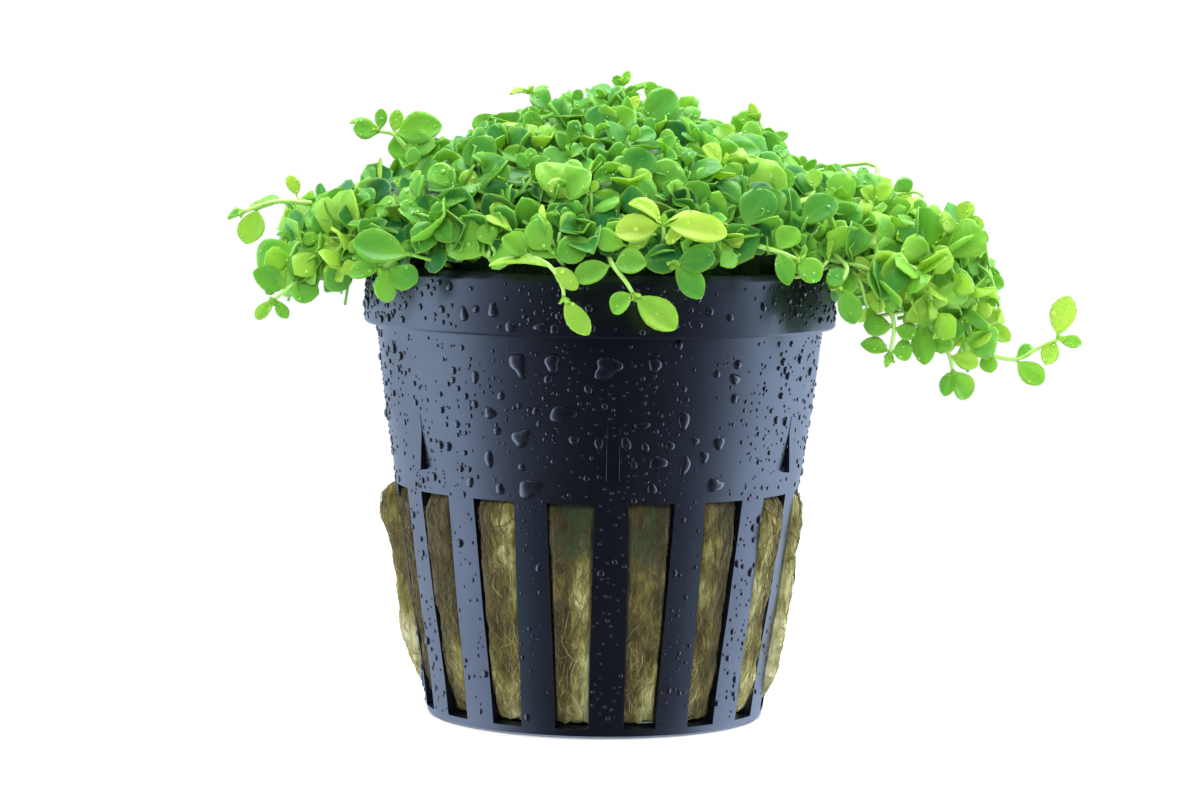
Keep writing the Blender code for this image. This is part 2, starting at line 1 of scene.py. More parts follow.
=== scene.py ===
"""Looks of the monte carlo carpet plant in its net pot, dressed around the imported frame.

Dimensions are in millimetres and become metres through MM. The pot's base is centred on the origin,
+Z is up and -Y is the front. An azimuth is in degrees from the front towards +X.
"""
import math
import random

import bpy
import numpy as np
from mathutils import Matrix, Vector, noise


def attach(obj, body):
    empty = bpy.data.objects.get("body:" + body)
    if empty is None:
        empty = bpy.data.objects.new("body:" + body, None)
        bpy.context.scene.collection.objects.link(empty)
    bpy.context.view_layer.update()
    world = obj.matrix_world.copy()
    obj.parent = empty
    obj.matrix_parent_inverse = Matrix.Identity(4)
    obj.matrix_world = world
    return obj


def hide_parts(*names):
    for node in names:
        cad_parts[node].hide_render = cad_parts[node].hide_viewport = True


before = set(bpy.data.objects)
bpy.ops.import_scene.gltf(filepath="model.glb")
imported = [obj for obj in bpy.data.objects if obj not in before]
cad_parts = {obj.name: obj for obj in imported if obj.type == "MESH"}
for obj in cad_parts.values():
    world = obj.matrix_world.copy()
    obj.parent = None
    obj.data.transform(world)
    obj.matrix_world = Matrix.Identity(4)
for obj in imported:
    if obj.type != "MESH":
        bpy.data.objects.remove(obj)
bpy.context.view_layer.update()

MM = 0.001

# The photograph's camera, worked out from the pot's rim, collar and foot
CAMERA_PLACE = (0.13, -436.9, 70.5)
CAMERA_PITCH = 0.083     # radians below the horizon
CAMERA_ROLL = 0.015      # radians, with the photograph's right side lower
PHOTO_WIDTH = 1200
PHOTO_HEIGHT = 800
PHOTO_FOCUS = 4037.7     # focal length in the photograph's pixels
SENSOR_WIDTH = 36.0
PIXEL = 0.108            # size of a photograph's pixel at the plant

# Net pot, as in part.py
POT_WALL = 1.0
RIB_COUNT = 16
RIB_AZIMUTH = 3.94
RIB_WIDTH_HEAD = 9.4     # degrees
RIB_WIDTH_FOOT = 11.7    # degrees
SLOT_FOOT = 1.0
SLOT_HEAD = 25.1
BASE_HUB = 6.0
BASE_SLOT_END = 14.5
BASE_SLOTS = 8
COLLAR_FOOT = 42.5
POT_HEIGHT = 49.0
RIB_FACES = 5            # faces across one rib
SLOT_FACES = 7           # faces across one slot
POT_BEVEL = 0.16
# Outer profile as radius and height, from the hub to the top of the rim
POT_PROFILE = (
    (BASE_HUB, 0.0),
    (BASE_SLOT_END, 0.0),
    (17.6, 0.0),
    (18.15, 0.25),
    (18.4, SLOT_FOOT),
    (18.9, 5.0),
    (19.5, 8.9),
    (20.15, 12.8),
    (20.8, 17.5),
    (21.84, SLOT_HEAD),
    (22.5, 29.5),
    (23.15, 34.0),
    (23.7, 38.5),
    (24.1, COLLAR_FOOT),
    (25.3, COLLAR_FOOT),
    (25.5, 42.75),
    (25.3, 48.1),
    (25.22, 48.35),
    (24.85, 48.95),
    (24.6, POT_HEIGHT),
)
LUG_COUNT = 6
LUG_WIDTH = 1.4
LUG_FOOT = 27.6
LUG_TOP = 33.6
LUG_REACH_FOOT = 22.95
LUG_REACH_TOP = 22.75
LUG_ROOT = 21.8

# Rockwool plug, as in part.py
PLUG_GAP = 0.4
PLUG_FOOT = 1.5
PLUG_TOP = 46.0
PLUG_NECK = 21.7
SLOT_BULGES = (1.2, 1.25, 1.5, 2.35, 1.6, 1.2, 1.3, 1.1, 1.4, 1.2, 1.7, 3.1, 1.3, 1.3, 1.25, 1.15)
LOW_BULGE = 3            # slot where the wool swells more at its foot than at its head
PLUG_COLUMNS = 320
PLUG_ROWS = 110
FIBRE_COUNT = 5200
FIBRE_SEED = 21

# Leaf mound, as in part.py: azimuth, reach, height of the widest edge, height of the underside
MOUND_EDGES = (
    (0.0, 24.5, 52.2, 50.0),
    (30.0, 25.4, 52.0, 49.9),
    (60.0, 28.8, 51.5, 48.6),
    (90.0, 41.0, 50.8, 46.4),
    (120.0, 37.0, 51.0, 47.0),
    (150.0, 32.0, 51.5, 48.0),
    (180.0, 30.5, 51.5, 48.2),
    (210.0, 31.0, 51.3, 48.0),
    (240.0, 33.0, 51.0, 47.6),
    (270.0, 35.0, 50.8, 47.2),
    (300.0, 30.5, 51.3, 48.2),
    (330.0, 25.6, 52.0, 49.9),
    (360.0, 24.5, 52.2, 50.0),
)
MOUND_CROWN = 66.4
MOUND_SHARES = (0.0, 0.15, 0.32, 0.49, 0.66, 0.82, 0.94, 1.0)
MOUND_RISES = (1.0, 0.95, 0.8, 0.64, 0.49, 0.34, 0.18, 0.0)
MOUND_FOOT = 46.35
THROAT = 22.6
RIM_PASS = 49.9

# Shoots that fill the mound
SHOOT_COUNT = 190
EDGE_SHOOTS = 62
SHOOT_SEED = 7
SIDE_BACKLIGHT_PALER = 0.02       # painted backlight: rise in tone for each millimetre beyond 22 mm at both sides
STEM_RADIUS = 0.3
LEAF_THICKNESS = 0.26

FRONT = (0.0, -1.0, 0.35)
UP = (0.0, -0.3, 1.0)
LEFT = (-0.8, -0.8, 0.5)
RIGHT = (0.8, -0.8, 0.5)

# Each sprig is a route for its stem, and leaves. A leaf has the route point that it grows from, the
# way from there to its tip, its width, the way its upper face looks, and its tone from deep green at
# 0 to pale lime at 1.
SPRIGS = {
    "runner_left": (
        ((-31, -5, 55.2), (-34.4, -6, 55.4), (-36.7, -6, 54.8), (-38, -6, 54.3)),
        ((2, (-0.7, -0.8, -4.0), 3.0, FRONT, 0.8),
         (3, (3.3, 0.6, 1.8), 1.9, (-0.4, -0.7, 0.7), 0.6),
         (3, (-1.9, 0, -0.8), 1.5, UP, 0.5)),
    ),
    "sprig_left_low": (
        ((-30.8, -10.4, 47.8), (-33, -11.8, 46.4), (-34.3, -10.8, 45.3)),
        ((2, (-1.9, -0.2, -2.3), 1.4, FRONT, 0.75),
         (2, (1.0, 0.2, -2.2), 1.4, FRONT, 0.6),
         (1, (-3.6, -1.2, 1.4), 3.0, FRONT, 0.5),
         (1, (3.2, -1.5, -0.7), 2.6, FRONT, 0.5)),
    ),
    "crest_left": (
        ((-20, -4, 60), (-21.2, -4.6, 61.5), (-22.4, -4.6, 62.7), (-23.8, -4.6, 63)),
        ((3, (-2.8, -0.7, 0.2), 2.5, FRONT, 0.6),
         (3, (-3.4, 0.8, 0.8), 1.8, UP, 0.6),
         (3, (0.1, 0.3, 2.4), 1.4, FRONT, 0.55),
         (2, (0.6, 0.2, 2.6), 1.6, FRONT, 0.75),
         (2, (5.2, -1.0, 1.2), 3.7, FRONT, 0.6),
         (1, (3.4, -2.4, 0.6), 3.0, FRONT, 0.6)),
    ),
    "crest_top_left": (
        ((-6.8, 0, 64.5), (-7.4, 0, 66.2), (-7.8, 0, 67.2)),
        ((2, (-2.3, 0.2, 0.1), 2.0, UP, 0.85),
         (2, (1.8, 0.4, 0.9), 1.4, UP, 0.6),
         (2, (2.0, -1.6, -1.4), 2.4, FRONT, 0.4),
         (1, (-0.6, -1.6, -2.4), 2.4, FRONT, 0.45)),
    ),
    "crest_top": (
        ((2, 2, 65.5), (2, 2, 67), (2.1, 2, 68.2)),
        ((2, (-1.0, 0, 1.0), 1.2, FRONT, 0.6),
         (2, (0.7, 0, 1.6), 1.0, FRONT, 0.75),
         (1, (3.5, -0.5, 1.5), 2.2, UP, 0.65),
         (1, (-3.4, 0.6, 0.8), 2.6, UP, 0.4),
         (1, (0.6, 3.2, 0.6), 2.6, UP, 0.45)),
    ),
    "crest_right": (
        ((19.4, 2, 60.5), (17.8, 2, 62.4), (16.9, 2, 64.6)),
        ((2, (-1.0, 0, 1.9), 1.1, FRONT, 0.9),
         (2, (-2.3, -0.4, 0.3), 1.9, FRONT, 0.7),
         (1, (2.3, 0, 0.9), 1.3, FRONT, 0.65),
         (1, (1.6, -0.8, -1.6), 2.2, FRONT, 0.6),
         (1, (0.2, -0.9, 1.5), 2.0, FRONT, 0.55),
         (1, (0.6, 2.6, 0.4), 2.2, UP, 0.5)),
    ),
    "sprig_pale": (
        ((6.2, -23, 52), (6.4, -25.2, 53), (6.3, -26.2, 54.3)),
        ((2, (-4.9, -1.0, -0.6), 3.0, FRONT, 1.0),
         (2, (6.4, -0.6, -1.2), 3.2, FRONT, 1.0),
         (2, (-3.5, 0.8, 2.2), 2.2, (0.3, -0.6, 0.8), 0.95),
         (2, (4.0, 0.6, 1.2), 1.5, UP, 0.95),
         (1, (1.6, -1.8, 0.2), 2.2, FRONT, 0.95)),
    ),
    "runner_front": (
        ((-10.5, -22.5, 52), (-7.4, -25.3, 51), (-5.1, -26.8, 49.9), (-3.9, -27.4, 48), (-3.7, -27.6, 47)),
        ((2, (-6.2, 0.2, 0.3), 1.6, UP, 0.85),
         (2, (2.9, -0.6, -2.0), 2.0, FRONT, 0.85),
         (4, (2.2, -0.4, -4.1), 2.4, FRONT, 0.8),
         (1, (-2.6, -1.0, 1.8), 2.8, FRONT, 0.65)),
    ),
    "sprig_front": (
        ((0.8, -23.6, 51), (1.2, -26.4, 50.2), (2.5, -27.4, 48.6), (3.3, -27.8, 47.4)),
        ((3, (-2.2, -0.3, -1.8), 2.2, FRONT, 0.7),
         (3, (4.2, -0.5, -3.8), 3.4, FRONT, 0.8),
         (1, (-3.7, -0.6, -1.8), 2.6, FRONT, 0.65),
         (1, (3.4, -1.2, 0.4), 2.8, FRONT, 0.65)),
    ),
    "sprig_front_right": (
        ((7.4, -23, 51.6), (7.4, -26, 50.4)),
        ((1, (3.0, -0.8, -3.4), 2.8, FRONT, 0.45),
         (1, (4.2, -0.8, 0.4), 3.0, FRONT, 0.35)),
    ),
    "sprig_rim_left": (
        ((-19, -16, 51), (-21.2, -19, 50.1), (-22.4, -19.6, 49.2)),
        ((2, (0, -0.4, -3.6), 2.4, FRONT, 0.6),
         (2, (3.4, -1.6, -1.4), 3.0, FRONT, 0.5),
         (2, (-3.6, 0.2, -0.6), 2.0, FRONT, 0.6)),
    ),
    "sprig_rim_right": (
        ((15, -20, 52.3), (18.1, -21.8, 51.6), (20, -22.4, 50.9)),
        ((2, (2.6, -0.7, -2.0), 2.7, FRONT, 0.6),
         (1, (1.7, 0.4, 2.6), 2.8, FRONT, 0.65),
         (1, (1.6, -1.4, -3.2), 2.2, FRONT, 0.5)),
    ),
    "sprig_rim_corner": (
        ((24, -13.5, 51.4), (25.6, -17.2, 49.8), (24.9, -18.0, 48.0)),
        ((2, (1.5, -0.6, -4.0), 2.6, FRONT, 0.55),
         (1, (-2.0, -1.6, -1.6), 2.0, FRONT, 0.5)),
    ),
    "runner_right_inner": (
        ((26, -11, 50.3), (28.6, -14, 48.4), (30.2, -14, 46), (30.9, -13.6, 43.4), (30.6, -13.2, 40.8)),
        ((1, (4.2, -0.6, 0.8), 3.0, FRONT, 0.75),
         (1, (-1.6, -0.8, 2.6), 1.5, FRONT, 0.95),
         (3, (-3.2, -0.6, 0.2), 2.4, FRONT, 0.6),
         (4, (-3.1, -0.3, 1.0), 1.9, FRONT, 0.65),
         (4, (2.3, 0.1, 0.1), 2.4, FRONT, 0.65),
         (3, (2.2, -0.2, -0.8), 2.0, FRONT, 0.6),
         (4, (-0.5, -0.6, -1.6), 0.8, FRONT, 0.75)),
    ),
    "runner_right_hanging": (
        ((32, -8.5, 48), (34.1, -10, 44.3), (35.9, -10, 42.2), (37.1, -9.6, 40.3), (37.5, -9.4, 38.8)),
        ((1, (0.0, -0.6, -5.0), 2.7, FRONT, 0.65),
         (2, (2.6, 0.6, 1.4), 2.4, FRONT, 0.5),
         (3, (3.0, -0.4, -1.2), 2.2, FRONT, 0.85),
         (4, (-1.0, -0.5, -2.8), 1.8, FRONT, 0.55),
         (4, (1.9, 0.2, -3.0), 2.6, FRONT, 0.65)),
    ),
    "runner_right": (
        ((38, -3, 47.5), (39.4, -4.4, 43), (41.3, -5.4, 40.4), (44.5, -6, 39.7), (46.7, -6, 40.8), (48.9, -6, 41.9)),
        ((2, (0.5, -0.6, -2.2), 2.0, FRONT, 0.6),
         (3, (2.6, -0.4, -2.8), 2.6, FRONT, 0.7),
         (3, (1.8, 0.6, 1.4), 1.5, FRONT, 0.6),
         (5, (-1.5, -0.9, -2.5), 2.1, FRONT, 0.85),
         (5, (0.8, 0, 4.7), 2.9, FRONT, 0.95),
         (5, (2.6, 0, -0.6), 1.5, FRONT, 0.7)),
    ),
    "sprig_right_tip": (
        ((36.5, -3, 53.6), (38.3, -4, 53.9)),
        ((1, (0.9, 0.2, 2.6), 2.0, FRONT, 0.9),
         (1, (2.6, -0.4, -0.5), 2.2, FRONT, 0.85),
         (1, (-2.4, -2.2, 0.4), 2.6, FRONT, 0.85)),
    ),
    "sprig_right_edge": (
        ((38.6, -1.6, 52.4), (40.7, -2.4, 51.6), (41.5, -2.4, 50), (41.2, -2.4, 48)),
        ((1, (0.6, -0.4, 1.6), 1.5, FRONT, 0.6),
         (1, (-0.6, -2.4, -0.6), 1.9, FRONT, 0.7),
         (3, (2.2, 0, -0.8), 1.9, FRONT, 0.6),
         (3, (0.6, -0.5, -3.6), 2.4, FRONT, 0.6)),
    ),
    "runner_back": (
        ((7, 28, 53.5), (8.5, 32, 53.2), (9.5, 34.6, 51.8), (10, 36, 49.6)),
        ((1, (2.8, 1.2, 1.8), 2.8, (0.3, 0.6, 1), 0.6),
         (1, (-3.0, 1.2, 1.4), 2.8, (-0.3, 0.6, 1), 0.5),
         (3, (2.8, 0.8, -1.4), 2.4, (0.2, 1, 0.4), 0.7),
         (3, (-2.6, 0.8, -1.8), 2.4, (-0.2, 1, 0.4), 0.65),
         (3, (0.4, 0.6, -3.2), 2.0, (0, 1, 0.3), 0.8)),
    ),
    "sprig_back_left": (
        ((-22, 20, 51.5), (-25.6, 23.4, 50.8), (-27.4, 25, 48.8)),
        ((1, (-3.4, -0.6, 1.6), 2.8, (-0.5, 0.4, 1), 0.6),
         (1, (0.8, 3.6, 1.0), 2.8, (0, 0.6, 1), 0.5),
         (2, (-2.2, 0.8, -2.6), 2.6, (-0.7, 0.7, 0.4), 0.7),
         (2, (1.6, 1.6, -2.4), 2.4, (-0.3, 1, 0.4), 0.6)),
    ),
    "sprig_back_right": (
        ((24, 20, 52), (28, 24.4, 51.2), (29.6, 26, 49.6)),
        ((1, (3.4, -1.0, 1.4), 2.8, (0.5, 0.3, 1), 0.6),
         (1, (-1.6, 3.2, 1.0), 2.8, (0, 0.6, 1), 0.5),
         (2, (2.6, 0.4, -2.4), 2.6, (0.7, 0.6, 0.4), 0.7),
         (2, (-0.8, 1.8, -2.8), 2.4, (0.2, 1, 0.4), 0.6)),
    ),
}

# Leaves that stand out on the front of the mound, in the photograph's pixels: where a leaf starts,
# its tip, its width, the way its upper face looks, how far it stands before the mound in
# millimetres, and its tone
FRONT_LEAVES = (
    # Left side
    ((297, 197), (292, 175), 14, FRONT, 1.0, 0.95),
    ((380, 186), (379, 158), 6, LEFT, 1.0, 0.9),
    ((376, 186), (365, 170), 15, FRONT, 1.0, 0.5),
    ((298, 245), (258, 268), 42, FRONT, 2.4, 0.55),
    ((318, 243), (298, 284), 36, FRONT, 2.8, 0.5),
    ((338, 231), (342, 188), 31, FRONT, 1.8, 0.4),
    ((376, 219), (392, 196), 24, UP, 1.6, 0.6),
    ((412, 255), (353, 243), 36, FRONT, 2.2, 0.5),
    ((330, 262), (343, 291), 30, FRONT, 2.6, 0.5),
    ((310, 275), (306, 296), 22, FRONT, 2.4, 0.5),
    ((300, 215), (283, 200), 20, UP, 1.2, 0.35),
    ((305, 212), (318, 200), 18, RIGHT, 1.2, 0.4),
    ((296, 222), (312, 238), 18, RIGHT, 1.4, 0.4),
    ((326, 203), (320, 183), 12, LEFT, 1.0, 0.35),
    ((372, 210), (362, 190), 20, FRONT, 1.2, 0.4),
    ((380, 228), (348, 224), 14, UP, 2.2, 0.55),
    ((460, 242), (438, 230), 20, FRONT, 1.8, 0.45),
    ((492, 247), (484, 224), 22, FRONT, 2.4, 0.65),
    ((514, 234), (486, 215), 18, UP, 2.2, 0.85),
    ((420, 214), (399, 206), 20, UP, 1.8, 0.6),
    ((456, 187), (430, 168), 26, FRONT, 1.8, 0.6),
    ((486, 181), (440, 206), 24, LEFT, 1.8, 0.5),
    ((492, 171), (470, 140), 38, FRONT, 1.6, 0.4),
    ((467, 147), (441, 146), 13, UP, 1.0, 0.5),
    ((432, 150), (388, 150), 30, FRONT, 1.6, 0.6),
    ((436, 163), (424, 140), 24, FRONT, 1.8, 0.7),
    ((490, 134), (478, 115), 24, FRONT, 1.0, 0.6),
    # Crown
    ((527, 126), (493, 131), 17, UP, 1.6, 0.95),
    ((536, 162), (505, 148), 20, FRONT, 1.6, 0.55),
    ((538, 145), (564, 159), 24, UP, 1.6, 0.55),
    ((585, 181), (567, 161), 18, FRONT, 1.6, 0.7),
    ((586, 179), (603, 158), 12, LEFT, 1.6, 0.8),
    ((579, 186), (546, 192), 22, FRONT, 2.2, 0.85),
    ((622, 172), (593, 179), 18, FRONT, 1.6, 0.55),
    ((628, 184), (648, 151), 35, FRONT, 1.6, 0.35),
    ((690, 191), (659, 169), 28, FRONT, 2.0, 0.6),
    ((697, 187), (709, 169), 18, FRONT, 1.6, 0.6),
    ((678, 141), (660, 136), 20, FRONT, 1.4, 0.6),
    ((690, 147), (713, 127), 20, FRONT, 1.2, 0.45),
    ((731, 146), (721, 126), 24, FRONT, 1.2, 0.75),
    ((642, 151), (599, 140), 22, UP, 1.2, 0.5),
    ((621, 116), (641, 99), 14, FRONT, 1.2, 0.9),
    ((641, 124), (677, 95), 36, FRONT, 0.8, 0.45),
    ((646, 100), (656, 84), 18, FRONT, 0.6, 0.6),
    ((694, 126), (692, 106), 18, FRONT, 0.6, 0.6),
    ((598, 101), (566, 98), 14, UP, 0.6, 0.45),
    ((583, 104), (573, 92), 14, FRONT, 0.4, 0.5),
    ((600, 133), (601, 105), 34, FRONT, 0.8, 0.35),
    ((537, 121), (566, 114), 14, UP, 0.9, 0.5),
    ((748, 152), (757, 122), 22, FRONT, 0.8, 0.62),
    ((757, 150), (778, 134), 20, FRONT, 0.8, 0.55),
    ((761, 181), (749, 154), 22, RIGHT, 1.5, 0.8),
    ((708, 182), (738, 207), 38, FRONT, 1.6, 0.42),
    ((733, 227), (697, 200), 18, UP, 2.0, 0.5),
    ((744, 230), (764, 188), 36, FRONT, 1.8, 0.4),
    ((692, 210), (674, 195), 20, FRONT, 1.8, 0.6),
    ((624, 233), (597, 213), 26, FRONT, 1.4, 0.25),
    # Front edge
    ((549, 234), (541, 205), 8, LEFT, 2.4, 0.95),
    ((560, 233), (571, 211), 14, RIGHT, 2.6, 0.85),
    ((552, 252), (527, 225), 32, FRONT, 2.4, 0.65),
    ((592, 238), (558, 257), 30, FRONT, 2.6, 0.55),
    ((628, 246), (594, 238), 22, FRONT, 2.4, 0.65),
    ((653, 235), (630, 245), 14, FRONT, 2.6, 0.85),
    ((638, 262), (682, 262), 32, FRONT, 2.0, 0.2),
    ((739, 255), (720, 263), 20, FRONT, 2.0, 0.6),
    ((762, 235), (726, 241), 18, UP, 2.0, 0.5),
    ((600, 267), (579, 283), 20, FRONT, 3.2, 0.65),
    ((603, 274), (638, 285), 24, FRONT, 3.2, 0.65),
    ((640, 274), (651, 290), 14, FRONT, 2.6, 0.35),
    # Right side
    ((786, 199), (780, 169), 25, FRONT, 1.4, 0.55),
    ((815, 191), (812, 169), 18, FRONT, 1.4, 0.75),
    ((760, 230), (766, 187), 38, FRONT, 1.2, 0.35),
    ((816, 195), (785, 210), 12, UP, 1.8, 0.9),
    ((800, 227), (831, 195), 30, FRONT, 1.6, 0.38),
    ((839, 199), (862, 219), 22, FRONT, 1.6, 0.5),
    ((850, 196), (848, 176), 24, FRONT, 1.2, 0.45),
    ((856, 184), (868, 169), 13, FRONT, 0.8, 0.55),
    ((891, 191), (913, 183), 17, FRONT, 0.8, 0.5),
    ((884, 203), (890, 189), 14, FRONT, 1.2, 0.5),
    ((888, 217), (914, 256), 44, FRONT, 2.0, 0.42),
    ((923, 196), (905, 234), 14, LEFT, 2.4, 0.85),
    ((922, 221), (948, 227), 15, UP, 2.0, 0.9),
    ((931, 245), (957, 264), 22, FRONT, 2.2, 0.9),
    ((918, 302), (922, 270), 16, LEFT, 2.6, 0.85),
    ((935, 292), (929, 264), 26, FRONT, 2.2, 0.42),
    ((957, 300), (924, 300), 20, FRONT, 2.4, 0.45),
    ((960, 292), (965, 254), 18, RIGHT, 2.0, 0.9),
    ((967, 300), (994, 291), 20, FRONT, 1.8, 0.45),
    ((981, 277), (999, 271), 16, FRONT, 1.2, 0.5),
    ((981, 317), (972, 347), 22, FRONT, 1.6, 0.45),
    ((949, 328), (966, 346), 18, FRONT, 2.0, 0.95),
    ((984, 323), (1009, 342), 18, FRONT, 1.6, 0.85),
    ((945, 317), (959, 331), 14, FRONT, 1.6, 0.45),
    ((888, 295), (920, 312), 20, FRONT, 2.2, 0.55),
    ((828, 261), (832, 239), 8, LEFT, 2.6, 0.85),
    ((846, 252), (840, 228), 26, FRONT, 1.4, 0.25),
)

# Large drops on the pot's wall, in the photograph's pixels: middle, width and height
WALL_DROPS = (
    (519, 365, 17, 26), (552, 363, 17, 17), (608, 368, 30, 20), (655, 365, 15, 14),
    (475, 377, 9, 13), (490, 413, 15, 11), (475, 404, 8, 8), (501, 396, 9, 9),
    (562, 414, 24, 18), (521, 438, 20, 18), (536, 411, 8, 9), (457, 424, 8, 8),
    (489, 459, 11, 17), (574, 440, 12, 9), (599, 444, 9, 13), (642, 426, 15, 9),
    (684, 421, 13, 18), (670, 446, 9, 11), (658, 463, 18, 15), (685, 466, 10, 21),
    (695, 441, 9, 9), (719, 443, 12, 15), (704, 457, 10, 14), (735, 379, 12, 12),
    (715, 485, 20, 14), (652, 489, 11, 11), (530, 489, 25, 20), (500, 489, 11, 11),
    (470, 482, 9, 11), (522, 467, 8, 8), (626, 444, 10, 15), (717, 374, 8, 8),
    (730, 317, 9, 9), (511, 327, 12, 12), (541, 327, 15, 9), (493, 310, 12, 15),
    (464, 314, 10, 15), (442, 309, 8, 8), (476, 309, 8, 8), (449, 286, 9, 9),
)
# Shoots that hang below the mound's edge: a tip in the photograph's pixels, its depth along Y, and
# how far in from the tip the shoot starts
HANGING_TIPS = (
    (868, 308, -15, 7), (892, 318, -13, 7), (903, 312, -11, 6),
    (926, 346, -9, 8), (938, 326, -13, 7), (955, 322, -5, 7), (973, 346, -6, 9),
    (990, 330, -2, 8), (999, 306, -4, 6), (978, 302, -9, 6), (932, 300, -14, 6),
    (958, 288, -11, 6), (884, 300, -16, 6), (912, 285, -15, 5), (990, 268, -3, 5),
    (968, 372, -8, 10), (264, 280, -8, 6), (287, 270, -10, 6), (312, 266, -12, 6),
    (336, 264, -14, 6), (274, 262, -4, 6), (300, 262, -2, 6), (281, 280, 4, 7),
)
# The same for the sides and the back, as azimuth, radius and height
HANGING_BEHIND = (
    (96, 41, 44), (104, 39, 43), (113, 38, 45), (122, 37, 43), (134, 34, 45), (146, 33, 44),
    (158, 32, 46), (170, 33, 44), (186, 31, 45), (199, 32, 46), (212, 31, 44), (226, 33, 45),
    (238, 34, 43), (249, 34, 45), (259, 35, 44),
)
# The foliage's upper outline and its lower outline in the photograph's pixels
SKYLINE = (
    (254, 262), (260, 250), (270, 246), (277, 238), (279, 199), (298, 197), (316, 190), (319, 183),
    (326, 184), (331, 190), (336, 185), (352, 187), (357, 198), (361, 194), (363, 180), (372, 176),
    (374, 160), (378, 160), (381, 176), (388, 168), (390, 140), (398, 118), (430, 112), (438, 136),
    (446, 141), (466, 138), (470, 130), (477, 114), (500, 112), (522, 110), (526, 96), (552, 93),
    (577, 90), (616, 88), (634, 88), (642, 82), (662, 82), (675, 92), (685, 104), (697, 104),
    (700, 118), (716, 123), (738, 123), (744, 116), (762, 113), (770, 126), (782, 139), (790, 153),
    (812, 157), (826, 160), (834, 164), (845, 174), (858, 172), (866, 167), (873, 182), (890, 183),
    (908, 179), (915, 190), (932, 193), (954, 203), (966, 199), (974, 199), (984, 226), (989, 240),
    (996, 258), (1001, 280), (1003, 330),
)
UNDERLINE = (
    (254, 262), (260, 286), (270, 298), (296, 299), (320, 294), (340, 290), (348, 284), (366, 278),
    (815, 280), (838, 300), (853, 298), (857, 322), (866, 322), (884, 311), (892, 306), (898, 318),
    (903, 350), (930, 352), (940, 370), (985, 370), (990, 345), (1003, 335),
)
BEAD_COUNT = 2700
BEAD_SEED = 5
LEAF_DROPS = 2600


def photo_ray(px, py):
    """The way from the camera through a pixel of the photograph."""
    side = px - PHOTO_WIDTH / 2
    rise = PHOTO_HEIGHT / 2 - py
    turn_cos, turn_sin = math.cos(CAMERA_ROLL), math.sin(CAMERA_ROLL)
    across = (side * turn_cos - rise * turn_sin) / PHOTO_FOCUS
    over = (side * turn_sin + rise * turn_cos) / PHOTO_FOCUS
    pitch_cos, pitch_sin = math.cos(CAMERA_PITCH), math.sin(CAMERA_PITCH)
    return Vector((across, pitch_cos + over * pitch_sin, over * pitch_cos - pitch_sin))


def photo_point(px, py, depth):
    """The point at a depth along Y that a pixel of the photograph shows."""
    eye = Vector(CAMERA_PLACE)
    ray = photo_ray(px, py)
    return eye + ray * ((depth - eye.y) / ray.y)


def photo_pixel(point):
    """The pixel of the photograph that shows a point."""
    away = point - Vector(CAMERA_PLACE)
    pitch_cos, pitch_sin = math.cos(CAMERA_PITCH), math.sin(CAMERA_PITCH)
    depth = away.y * pitch_cos - away.z * pitch_sin
    across = away.x / depth * PHOTO_FOCUS
    over = (away.y * pitch_sin + away.z * pitch_cos) / depth * PHOTO_FOCUS
    turn_cos, turn_sin = math.cos(CAMERA_ROLL), math.sin(CAMERA_ROLL)
    side = across * turn_cos + over * turn_sin
    rise = over * turn_cos - across * turn_sin
    return PHOTO_WIDTH / 2 + side, PHOTO_HEIGHT / 2 - rise


def in_outline(point, spare=0.0):
    """Whether the photograph shows a point within the foliage's outline, with spare pixels around it."""
    px, py = photo_pixel(point)
    if not SKYLINE[0][0] - spare < px < SKYLINE[-1][0] + spare:
        return False
    return np.interp(px, *zip(*SKYLINE)) - spare < py < np.interp(px, *zip(*UNDERLINE)) + spare


def at(azimuth, radius, height):
    """A point at an azimuth in degrees, in millimetres."""
    angle = math.radians(azimuth)
    return Vector((radius * math.sin(angle), -radius * math.cos(angle), height))


class Pile:
    """Many small meshes that become one object, with a mask colour at each vertex."""

    def __init__(self):
        self.points = []
        self.faces = []
        self.finishes = []
        self.masks = []
        self.count = 0

    def add(self, points, faces, mask=(0.5, 0.0, 0.5), finish=0):
        points = np.asarray(points, float)
        masks = np.broadcast_to(np.asarray(mask, float), (len(points), 3))
        self.points.append(points)
        self.masks.append(masks)
        self.faces += [tuple(i + self.count for i in face) for face in faces]
        self.finishes += [finish] * len(faces)
        self.count += len(points)

    def make(self, name, *finishes):
        mesh = bpy.data.meshes.new(name)
        points = np.concatenate(self.points) * MM
        mesh.from_pydata(points.tolist(), [], self.faces)
        masks = np.ones((len(points), 4))
        masks[:, :3] = np.concatenate(self.masks)
        layer = mesh.color_attributes.new("mask", "FLOAT_COLOR", "POINT")
        layer.data.foreach_set("color", masks.ravel())
        for finish in finishes:
            mesh.materials.append(finish)
        mesh.polygons.foreach_set("material_index", self.finishes)
        mesh.shade_smooth()
        mesh.update()
        obj = bpy.data.objects.new(name, mesh)
        bpy.context.scene.collection.objects.link(obj)
        return obj


def ride(obj, slot=None, *nodes):
    """Put a piece on the part's one body, in place of the named CAD nodes."""
    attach(obj, "root")
    if nodes:
        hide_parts(*nodes)
    return obj


# Materials

def new_material(name):
    made = bpy.data.materials.new(name)
    made.use_nodes = True
    tree = made.node_tree
    return made, tree, tree.nodes["Principled BSDF"]


def node(tree, kind, **values):
    """A shader node with its properties and unlinked inputs set by name."""
    made = tree.nodes.new(kind)
    for key, value in values.items():
        if hasattr(made, key):
            setattr(made, key, value)
        else:
            made.inputs[key.replace("_", " ").title()].default_value = value
    return made


